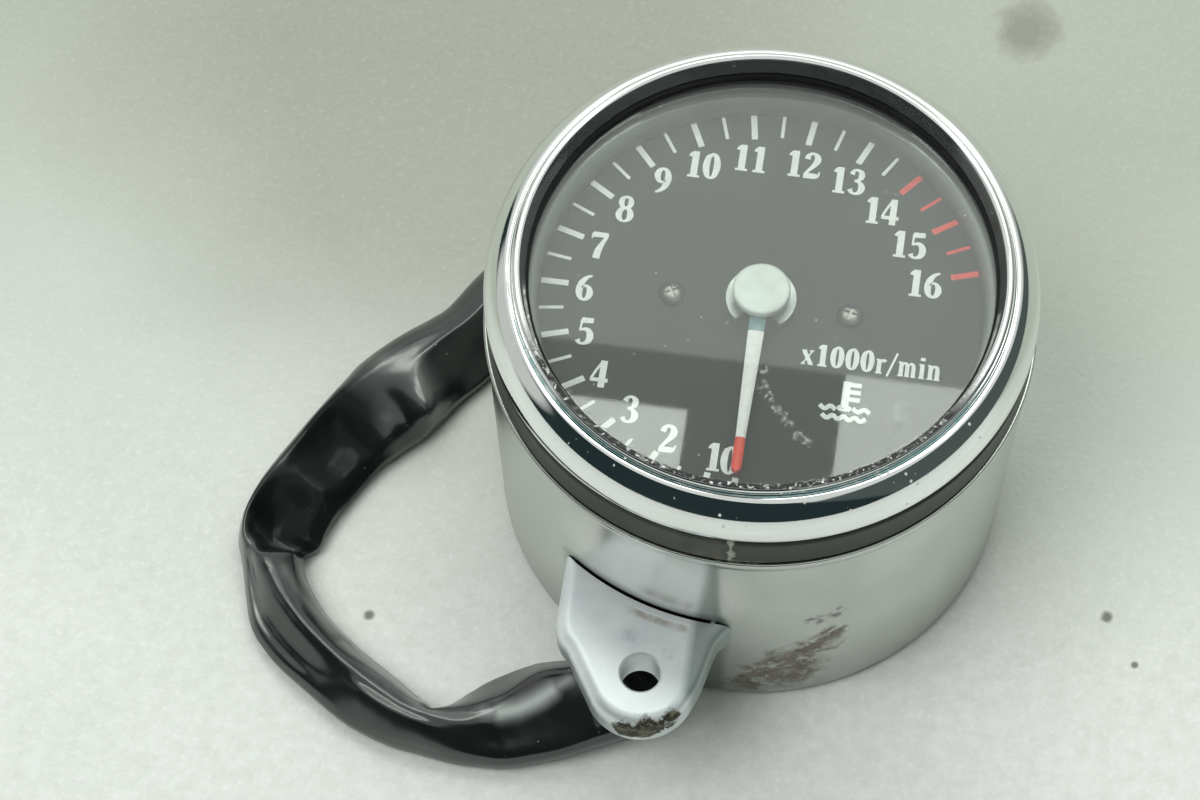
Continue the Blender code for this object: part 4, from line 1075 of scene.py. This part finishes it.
def make_seal_band():
    profile = softened([(41.4, SEAL_LOW, 0.0), (SEAL_R, SEAL_LOW, 0.5), (SEAL_R - 0.12, SEAL_LOW + 3.1, 1.0),
                        (SEAL_R, SEAL_TOP, 0.5), (41.4, SEAL_TOP, 0.0)])
    finish_piece("seal_ring", lathe_mesh(profile, 256), "seal", "seal_band")


def make_bezel():
    """Chromed ring: swept flank, a crease and groove, a raised inner lip and the wall down to the gasket."""
    low = lowest("bezel").z
    crease_r = 40.0
    centre = (crease_r - 3.0, DIAL_Z + 5.3)
    run, rise = BEZEL_R - centre[0], 7.53
    land_r = crease_r + 0.65
    last = math.acos((land_r - centre[0]) / run)
    steps = 36

    def sweep(reach, lift, turns):
        """Points on a quarter oval at shares of its last angle."""
        return [(centre[0] + reach * math.cos(last * turn), centre[1] + lift * math.sin(last * turn))
                for turn in turns]

    flank = sweep(run, rise, [i / steps for i in range(steps + 1)])
    wall_low = GASKET_TOP + GAP
    skirt = softened([(43.0, low, 0.0), (43.55, low, 0.25), (43.92, low + 1.0, 0.5),
                      (BEZEL_R, centre[1] - 0.05, 0.2)], closed=False)
    lip = softened([(39.9, TOP_Z - 1.15, 0.0), (39.7, TOP_Z - 1.22, 0.06), (39.5, TOP_Z - 1.05, 0.06),
                    (39.3, TOP_Z - 0.3, 0.12), (38.85, TOP_Z, 0.2), (38.1, TOP_Z - 0.2, 0.14),
                    (37.85, TOP_Z - 0.8, 0.3), (37.25, wall_low, 0.1), (38.1, wall_low, 0.1),
                    (38.4, TOP_Z - 1.9, 0.2)], closed=False)
    inner = sweep(run - 1.0, rise - 1.4, [i / 12 for i in range(12, -1, -1)])
    land = [(land_r - 0.08, flank[-1][1] + 0.025), (crease_r, flank[-1][1] + 0.07)]
    profile = skirt + flank[1:] + land + lip + inner + [(42.7, low)]
    finish_piece("bezel_ring", lathe_mesh(profile, 320), "chrome", "bezel", sharp=28.0)


def make_gasket():
    inner_r = 36.8
    groove_r = LENS_R + GAP
    under_r = inner_r + 0.8
    profile = softened([
        (GASKET_R, GASKET_LOW, 0.2), (GASKET_R, GASKET_TOP - 1.5, 0.3), (GASKET_R - 0.5, GASKET_TOP, 0.2),
        (inner_r + 1.3, GASKET_TOP, 0.4), (inner_r, GASKET_TOP - 0.4, 0.3), (inner_r, LENS_TOP + GAP, 0.1),
        (groove_r, LENS_TOP + GAP, 0.0), (groove_r, LENS_LOW - GAP, 0.0), (under_r, LENS_LOW - GAP, 0.1),
        (under_r, GASKET_LOW, 0.1)])
    finish_piece("lens_channel", lathe_mesh(profile, 224), "rubber", "lens_gasket")


def make_surround():
    """The grey inner ring: a soft cove that rises outwards over the dial's edge."""
    inner_r, outer_r = 35.3, highest("dial_surround").x
    low = lowest("dial_surround").z
    over = DIAL_R + 0.5
    profile = softened([
        (inner_r, DIAL_Z + GAP, 0.1), (over, DIAL_Z + GAP, 0.0), (over, low, 0.0), (outer_r, low, 0.3),
        (outer_r, SURROUND_TOP, 0.3), (36.9, SURROUND_TOP, 0.6), (36.1, SURROUND_TOP - 1.2, 0.8),
        (inner_r, DIAL_Z + 1.2, 0.4)])
    finish_piece("dial_ring", lathe_mesh(profile, 224), "grey_plastic", "dial_surround")


def make_lens():
    profile = softened([(0.0, LENS_LOW, 0.0), (LENS_R, LENS_LOW, 0.25), (LENS_R, LENS_TOP, 0.25),
                        (0.0, LENS_TOP, 0.0)], closed=False)
    finish_piece("lens_disc", lathe_mesh(profile, 192), "glass", "lens", sharp=12.0)


# ---------------------------------------------------------------- the dial and its print
PRINT_THICK = 0.045
STROKE_STEP = 0.004
STROKE_SPREAD = 1.2
TICK_OUTER_R = 36.0
TICK_INNER_R = {"major": 30.9, "minor": 31.4}
TICK_HALF_WIDTH = {"major": 0.5, "minor": 0.28}
FIRST_TICK = math.radians(-98.14)
TICK_STEP = math.radians(16.28)
LAST_NUMBER = 16
RED_FROM = 14


def tick_angle(value):
    """Clockwise from 0, which sits at 6 o'clock; the first step is half a step long."""
    if value <= 1.0:
        return -0.5 * math.pi + (FIRST_TICK + 0.5 * math.pi) * value
    return FIRST_TICK - (value - 1.0) * TICK_STEP


def tick_mesh(value, kind):
    angle = tick_angle(value)
    out = Vector((math.cos(angle), math.sin(angle)))
    side = Vector((-out.y, out.x)) * TICK_HALF_WIDTH[kind]
    inner, outer = out * TICK_INNER_R[kind], out * TICK_OUTER_R
    corners = [inner + side, outer + side, outer - side, inner - side]
    return prism_mesh([(c.x, c.y) for c in corners], DIAL_Z, DIAL_Z + PRINT_THICK)


def make_ticks():
    white, red = bmesh.new(), bmesh.new()
    for half_steps in [0, *range(2, 2 * LAST_NUMBER + 1)]:
        value = 0.5 * half_steps
        target = red if value >= RED_FROM else white
        add_mesh(target, tick_mesh(value, "major" if half_steps % 2 == 0 else "minor"))
    finish_piece("dial_ticks", white, "print_white")
    finish_piece("dial_ticks_red", red, "print_red")


def bar(left, right, y, width):
    """A level stroke."""
    return [(left, y, width), (0.5 * (left + right), y, width), (right, y, width)]


def post(x, top, foot, width):
    """An upright stroke."""
    return [(x, top, width), (x, 0.5 * (top + foot), width), (x, foot, width)]


# Each character is a list of strokes of (x, y, width) in hundredths of its height.
# A stroke whose last point repeats its first is a closed bowl.
GLYPHS = {
    "0": [[(29, 96.5, 7), (41, 84, 15), (46, 50, 19), (41, 16, 15), (29, 3.5, 7), (17, 16, 15),
          (12, 50, 19), (17, 84, 15), (29, 96.5, 7)]],
    "1": [post(31, 99, 2, 19), [(10, 80, 3), (20, 86, 14), (31, 94, 10)], bar(12, 50, 3.5, 7)],
    "2": [[(13, 72, 17), (16, 86, 12), (28, 95, 8), (42, 86, 15), (45, 70, 19), (36, 50, 14),
          (20, 28, 9), (10, 12, 8)], [(6, 8.5, 16), (28, 8.5, 17), (47, 8.5, 16)], [(47, 5, 10),
          (53, 15, 6), (55, 27, 4)]],
    "3": [[(12, 77, 15), (17, 90, 10), (29, 95, 8), (41, 86, 15), (42, 70, 17), (34, 57, 9),
          (22, 53, 6)], [(22, 53, 6), (37, 48, 10), (46, 31, 19), (42, 13, 15), (29, 4, 8), (16, 8, 10),
          (10, 20, 15)]],
    "4": [[(35, 97, 7), (19, 65, 7), (5, 30, 7)], bar(3, 57, 28, 11), post(38.5, 99, 1, 18)],
    "5": [[(14, 90, 17), (32, 90, 16), (50, 92, 15)], [(15, 92, 8), (14, 70, 6), (13, 50, 6)],
          [(13, 52, 5), (28, 58, 10), (41, 50, 16), (46, 32, 19), (41, 13, 15), (27, 4, 8), (15, 7, 10),
          (9, 17, 15)]],
    "6": [[(46, 95.5, 6), (30, 86, 11), (17, 66, 17), (12, 37, 19), (17, 14, 14), (29, 4, 8),
          (41, 12, 14), (46, 30, 18), (41, 48, 13), (30, 56, 7), (19, 47, 6)]],
    "7": [[(7, 90, 17), (30, 90, 16), (54, 90, 15)], [(6, 95, 5), (5.5, 84, 5), (5, 74, 4)],
          [(52, 90, 8), (40, 62, 12), (30, 34, 18), (25, 1, 20)]],
    "8": [[(29, 96.5, 7), (40, 90, 12), (44, 75.5, 16), (40, 61, 13), (29, 54, 8), (18, 61, 13),
          (14, 75.5, 16), (18, 90, 12), (29, 96.5, 7)], [(29, 55, 8), (42, 46, 14), (47, 28, 18),
          (42, 11, 13), (29, 3.5, 7), (16, 11, 13), (11, 28, 18), (16, 46, 14), (29, 55, 8)]],
    "x": [[(8, 62, 15), (24, 33, 15), (40, 4, 15)], [(41, 62, 5), (24, 33, 5), (7, 4, 5)],
          bar(0, 20, 64, 5), bar(30, 48, 64, 5), bar(0, 18, 2.5, 5), bar(28, 49, 2.5, 5)],
    "r": [post(16, 66, 2, 15), bar(3, 31, 2.5, 5), bar(3, 16, 64, 5), [(20, 46, 5), (27, 60, 7),
          (34, 62, 12), (40, 56, 13)]],
    "/": [[(2, -8, 8), (19, 47, 8), (36, 102, 8)]],
    "i": [post(16, 66, 2, 15), bar(3, 29, 2.5, 5), bar(3, 16, 64, 5), [(16, 96, 16), (16, 90, 17),
          (16, 82, 16)]],
    "n": [post(13, 66, 2, 15), [(18, 50, 5), (28, 62, 8), (38, 57, 13), (41, 42, 15), (41, 20, 15),
          (41, 2, 15)], bar(0, 25, 2.5, 5), bar(29, 53, 2.5, 5), bar(0, 13, 64, 5)],
    "m": [post(13, 66, 2, 14), [(18, 50, 5), (26, 62, 8), (35, 57, 12), (38, 42, 14), (38, 20, 14),
          (38, 2, 14)], [(43, 50, 5), (51, 62, 8), (60, 57, 12), (63, 42, 14), (63, 20, 14),
          (63, 2, 14)], bar(0, 24, 2.5, 5), bar(29, 48, 2.5, 5), bar(54, 74, 2.5, 5), bar(0, 13, 64, 5)],
}
GLYPHS["9"] = [[(58 - x, 100 - y, w) for x, y, w in stroke] for stroke in GLYPHS["6"]]
GLYPH_WIDTHS = {"1": 0.56, "x": 0.52, "r": 0.46, "/": 0.40, "i": 0.34, "n": 0.56, "m": 0.78}
DEFAULT_WIDTH = 0.58


def stroke_mesh(stroke, origin, size, stretch, level):
    """A ribbon with its own width at each point, raised by the ink's thickness; each stroke of a
    character stands a step higher, so that crossings don't share a face."""
    closed = stroke[0] == stroke[-1]
    if closed:
        loop = stroke[:-1]
        wrapped = [loop[-1]] + loop + [loop[0], loop[1]]
        rows = catmull(wrapped, 6)[6:-12]
    else:
        rows = catmull(stroke, 8)
    points = [Vector((origin[0] + x * size * stretch, origin[1] + y * size)) for x, y, _ in rows]
    widths = [STROKE_SPREAD * w * size for _, _, w in rows]
    count = len(points)
    base = DIAL_Z
    top = DIAL_Z + PRINT_THICK + STROKE_STEP * level
    bm = bmesh.new()
    sections = []
    for i, point in enumerate(points):
        before = points[i - 1] if closed or i > 0 else point
        after = points[(i + 1) % count] if closed or i < count - 1 else point
        ahead = (after - before).normalized()
        side = Vector((-ahead.y, ahead.x)) * 0.5 * widths[i]
        left, right = point + side, point - side
        sections.append([bm.verts.new((*left, base)), bm.verts.new((*right, base)),
                         bm.verts.new((*right, top)), bm.verts.new((*left, top))])
    skin(bm, sections, ring=closed, capped=not closed)
    return bm


def write_text(bm, text, centre, size, stretch=1.0, spacing=0.0):
    """Upright characters in a row, centred on a point."""
    widths = [(GLYPH_WIDTHS.get(c, DEFAULT_WIDTH) * stretch + spacing) * size for c in text]
    x = centre[0] - 0.5 * sum(widths)
    for character, width in zip(text, widths):
        for level, stroke in enumerate(GLYPHS[character]):
            add_mesh(bm, stroke_mesh(stroke, (x, centre[1] - 0.5 * size), 0.01 * size, stretch, level))
        x += width


def make_numbers():
    size, drop = 4.9, 0.4
    narrow_r, plain_r, wide_r = 26.6, 27.6, 28.2
    left_shift = {0: 1.3, 10: 0.8, 11: 0.8}
    bm = bmesh.new()
    for value in range(LAST_NUMBER + 1):
        radius = narrow_r if value >= RED_FROM else wide_r if 4 <= value <= 9 else plain_r
        spot = polar(radius, tick_angle(value))
        centre = (spot.x - left_shift.get(value, 0.0), spot.y - drop)
        write_text(bm, str(value), centre, size, stretch=1.06, spacing=-0.01)
    finish_piece("dial_numbers", bm, "print_white")
    legend = bmesh.new()
    write_text(legend, "x1000r/min", (18.7, -7.5), 3.9, stretch=1.0, spacing=0.035)
    finish_piece("dial_legend", legend, "print_white")


def make_coolant_sign():
    """A plain thermometer standing in two waves."""
    bm = bmesh.new()
    stem_x, top_y, foot_y = 15.3, -11.6, -16.4
    strokes = [[(stem_x, top_y, 1.0), (stem_x, -14.0, 1.0), (stem_x, foot_y, 1.05)],
               [(stem_x, -15.9, 1.5), (stem_x, -16.3, 1.9), (stem_x, -16.9, 1.5)]]
    for y in (-12.1, -13.4, -14.7):
        strokes.append([(stem_x, y, 0.62), (stem_x + 1.2, y, 0.62), (stem_x + 2.3, y, 0.62)])
    for start, end, base in ((11.4, 14.0, -16.5), (16.6, 19.4, -16.5), (11.9, 18.9, -18.1)):
        waves = max(2, round((end - start) / 0.9))
        strokes.append([(start + (end - start) * i / waves, base + 0.28 * (-1.0) ** i, 0.62)
                        for i in range(waves + 1)])
    for level, stroke in enumerate(strokes):
        add_mesh(bm, stroke_mesh(stroke, (0.0, 0.0), 1.0, 1.0, 0.4 * level))
    finish_piece("coolant_sign", bm, "print_white")


def make_dial():
    low = lowest("dial_plate").z
    bore_r, screw_hole_r = 2.7, 1.6
    profile = softened([(bore_r, low, 0.0), (DIAL_R, low, 0.1), (DIAL_R, DIAL_Z, 0.1), (bore_r, DIAL_Z, 0.1)])
    dial = finish_piece("dial_face", lathe_mesh(profile, 192), "dial_black", "dial_plate",
                        sharp=12.0)
    drill = [(0.0, low - 1.0), (screw_hole_r, low - 1.0), (screw_hole_r, DIAL_Z + 1.0), (0.0, DIAL_Z + 1.0)]
    subtract(dial, *[lathe_mesh(drill, 32, (side * SCREW_X, 0.0)) for side in (-1.0, 1.0)])
    make_ticks()
    make_numbers()
    make_coolant_sign()


def make_dial_screws():
    """Pan heads with a cross recess, each turned its own way."""
    for name, x, turn in (("left", -SCREW_X, 0.5), ("right", SCREW_X, -0.25)):
        low = lowest("dial_screw_" + name).z
        seat = DIAL_Z + GAP
        profile = softened([(0.0, low, 0.0), (1.2, low, 0.2), (1.2, seat, 0.0), (2.15, seat, 0.1),
                            (2.15, seat + 0.5, 0.35), (1.3, seat + 1.1, 0.6), (0.0, seat + 1.15, 0.0)],
                           closed=False)
        screw = finish_piece("face_screw_" + name, lathe_mesh(profile, 48, (x, 0.0)), "screw_steel",
                             "dial_screw_" + name)
        slots = []
        for quarter in (0.0, 0.5 * math.pi):
            slots.append(box_mesh((2.3, 0.5, 1.1), (x, 0.0, seat + 1.25), turn=turn + quarter))
        subtract(screw, *slots)


# ---------------------------------------------------------------- the pointer
def make_pointer():
    cap = softened([(0.0, CAP_LOW, 0.0), (CAP_R - 0.3, CAP_LOW, 0.1), (CAP_R, CAP_LOW + 0.4, 0.2),
                    (CAP_R, CAP_TOP - 0.25, 0.3), (CAP_R - 0.35, CAP_TOP, 0.3), (0.0, CAP_TOP, 0.0)],
                   closed=False)
    finish_piece("pointer_cap", lathe_mesh(cap, 96), "silver", "hub_cap", POINTER)
    make_counterweight()
    make_needle()


def make_counterweight():
    """A flat C of plated metal under the cap, open towards the needle's tip."""
    low, high = lowest("counterweight").z, highest("counterweight").z
    half_open = math.radians(38.0)
    start, end = -0.5 * math.pi + half_open, 1.5 * math.pi - half_open
    outline = arc((0.0, 0.0), 5.6, start, end, 64) + arc((0.0, 0.0), 1.1, end, start, 32)
    bm = prism_mesh(outline, low, high)
    rim = [e for e in bm.edges if abs(e.verts[0].co.z - e.verts[1].co.z) < 0.01]
    bmesh.ops.bevel(bm, geom=rim, offset=0.15, segments=2, affect="EDGES", profile=0.5)
    finish_piece("balance_plate", bm, "white_metal", "counterweight", POINTER)


def needle_section(y, half_width, low, high):
    """A six-sided section: flat foot, short sides, sloped shoulders and a flat ridge."""
    shoulder = low + 0.62 * (high - low)
    ridge = 0.55 * half_width
    return [(-half_width, y, low), (half_width, y, low), (half_width, y, shoulder), (ridge, y, high),
            (-ridge, y, high), (-half_width, y, shoulder)]


def swept_needle(name, rows, surface, replaced=None):
    bm = bmesh.new()
    sections = []
    for y, half_width in rows:
        sections.append([bm.verts.new(p) for p in needle_section(-y, half_width, NEEDLE_LOW, NEEDLE_TOP)])
    skin(bm, sections, capped=True)
    return finish_piece(name, bm, surface, replaced, POINTER)


def make_needle():
    tip_start = NEEDLE_LENGTH - 6.1
    root_end, hub_r = 6.4, 3.4
    root_half, tip_half = 1.28, 0.78
    swept_needle("needle_root", [(3.0, 1.2), (4.5, 1.3), (root_end, root_half)], "acrylic")
    hub = softened([(1.05, NEEDLE_LOW, 0.0), (hub_r, NEEDLE_LOW, 0.1), (hub_r, NEEDLE_TOP, 0.1),
                    (1.05, NEEDLE_TOP, 0.0)])
    finish_piece("needle_hub", lathe_mesh(hub, 64), "acrylic", body=POINTER)
    rows = []
    steps = 12
    for i in range(steps + 1):
        share = i / steps
        rows.append((root_end + GAP * 0.2 + (tip_start - root_end - 0.1) * share,
                     root_half + (tip_half - root_half) * share))
    swept_needle("needle_blade", rows, "needle_white", "needle_arm")
    end = []
    steps = 14
    round_from = 0.86
    for i in range(steps + 1):
        share = i / steps
        swell = tip_half + 0.04 * math.sin(math.pi * share)
        into_round = max(0.0, share - round_from)
        half = swell * math.sqrt(max(0.02, 1.0 - into_round ** 2 / 0.0197))
        end.append((tip_start + (NEEDLE_LENGTH - tip_start - 0.05) * share, half))
    swept_needle("needle_point", end, "needle_red", "needle_tip")


# ---------------------------------------------------------------- what stays as CAD
CAD_FINISHES = {
    "steel": ["spindle", "movement_can", "movement_plate", *["case_screw_%d" % i for i in (1, 2, 3)],
              *["board_screw_%d" % i for i in (1, 2, 3)]],
    "brass": ["lower_bearing", "upper_bearing", "hairspring", "dial_post_left", "dial_post_right",
              *["board_standoff_%d" % i for i in (1, 2, 3)]],
    "copper": ["coil_a_front", "coil_a_back", "coil_b_left", "coil_b_right"],
    "lamp_glass": ["left_lamp_bulb", "right_lamp_bulb", "warning_lamp_bulb"],
    "white_plastic": ["board_header", "light_housing"],
    "magnet": ["rotor_magnet"],
    "board_green": ["circuit_board"],
    "silver": ["filter_capacitor"],
}


def dress_cad_nodes():
    """The CAD nodes that stay, inside the case, get their finish; any not listed is black plastic."""
    finishes = {node: finish for finish, nodes in CAD_FINISHES.items() for node in nodes}
    for node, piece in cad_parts.items():
        piece.data.materials.clear()
        piece.data.materials.append(SURFACES[finishes.get(node, "black_plastic")])


# ---------------------------------------------------------------- floor and light
def make_floor():
    reach = 3000.0
    bm = bmesh.new()
    bm.faces.new([bm.verts.new(c) for c in ((-reach, -reach, 0.0), (reach, -reach, 0.0), (reach, reach, 0.0),
                                            (-reach, reach, 0.0))])
    floor = finish_piece("floor", bm, "floor", body=None)


def panel(name, centre, size, radiance, aim, colour=(1.0, 1.0, 1.0)):
    """A rectangular soft light whose face has a given radiance and looks at a point."""
    data = bpy.data.lights.new(name, "AREA")
    data.shape = "RECTANGLE"
    data.size, data.size_y = size
    data.energy = radiance * math.pi * size[0] * size[1]
    data.color = colour
    light = bpy.data.objects.new(name, data)
    direction = Vector(aim) - Vector(centre)
    light.matrix_world = Matrix.Translation(centre) @ direction.to_track_quat("-Z", "Y").to_matrix().to_4x4()
    bpy.context.scene.collection.objects.link(light)


def make_lights():
    """Metres from here on. Ceiling panels behind the cup show in the glass with a dark beam between them."""
    ceiling = 1.5
    for name, left, right, front, back, radiance in (
            ("ceiling_main", -0.62, 0.50, 0.748, 1.70, 1.12),
            ("ceiling_left", -0.50, -0.091, 0.36, 0.713, 4.6),
            ("ceiling_right", -0.006, 0.45, 0.36, 0.757, 4.0)):
        centre = (0.5 * (left + right), 0.5 * (front + back), ceiling)
        panel(name, centre, (right - left, back - front), radiance, (centre[0], centre[1], 0.0),
              (0.94, 1.0, 0.93))
    fill = bpy.data.lights.new("front_fill", "SUN")
    fill.energy = 1.35
    fill.angle = math.radians(32.0)
    lamp = bpy.data.objects.new("front_fill", fill)
    lamp.matrix_world = Vector((0.36, 0.30, -0.88)).to_track_quat("-Z", "Y").to_matrix().to_4x4()
    lamp.visible_glossy = False
    bpy.context.scene.collection.objects.link(lamp)


def heading(degrees, elevation):
    """Unit direction; 0 degrees faces the front (-Y) and 90 the right (+X)."""
    turn, lift = math.radians(degrees), math.radians(elevation)
    return Vector((math.sin(turn) * math.cos(lift), -math.cos(turn) * math.cos(lift), math.sin(lift)))


def make_world():
    """Pale room with two dim sectors low in front; the backdrop itself looks plain."""
    world = bpy.data.worlds.new("studio")
    bpy.context.scene.world = world
    world.use_nodes = True
    room = Graph(world.node_tree)
    direction = room.node("ShaderNodeTexCoord").outputs["Generated"]

    def ramp(axis, start, end):
        """One where the direction's share along an axis is past end, zero before start."""
        return room.remap(room.vector("DOT_PRODUCT", direction, tuple(axis)).outputs["Value"], start, end)

    def under(degrees, top, soft):
        """One under a plane that rises towards a heading up to an elevation."""
        return ramp(heading(degrees, top - 90.0), -soft, soft)

    sky = room.blend(ramp((0.0, 0.0, 1.0), 0.0, 0.8), (0.47, 0.50, 0.46), (0.70, 0.73, 0.70))
    low = room.layers(sky, (ramp(heading(178.0, 22.0), 0.60, 0.86), (0.76, 0.79, 0.77)),
                      (ramp(heading(128.0, 10.0), 0.90, 0.97), (0.36, 0.38, 0.34)),
                      (under(52.0, 44.0, 0.035), (0.075, 0.095, 0.09)),
                      (under(-40.0, 66.0, 0.025), (0.018, 0.030, 0.032)),
                      (ramp(heading(-95.0, 18.0), 0.90, 0.94), (0.58, 0.60, 0.57)))
    seen_straight = room.node("ShaderNodeLightPath").outputs["Is Camera Ray"]
    background = room.tree.nodes["Background"]
    room.plug(background.inputs["Color"], room.blend(seen_straight, low, (0.60, 0.63, 0.58)))
    room.plug(background.inputs["Strength"], 1.0)


# ---------------------------------------------------------------- build
def build():
    make_camera()
    make_lead()
    make_boot()
    make_cup()
    make_lug()
    make_seal_band()
    make_bezel()
    make_gasket()
    make_surround()
    make_lens()
    make_dial()
    make_dial_screws()
    make_pointer()
    dress_cad_nodes()
    make_floor()
    make_lights()
    make_world()
    view = bpy.context.scene.view_settings
    view.view_transform = "Standard"
    view.look = "None"


build()
bpy.context.view_layer.update()
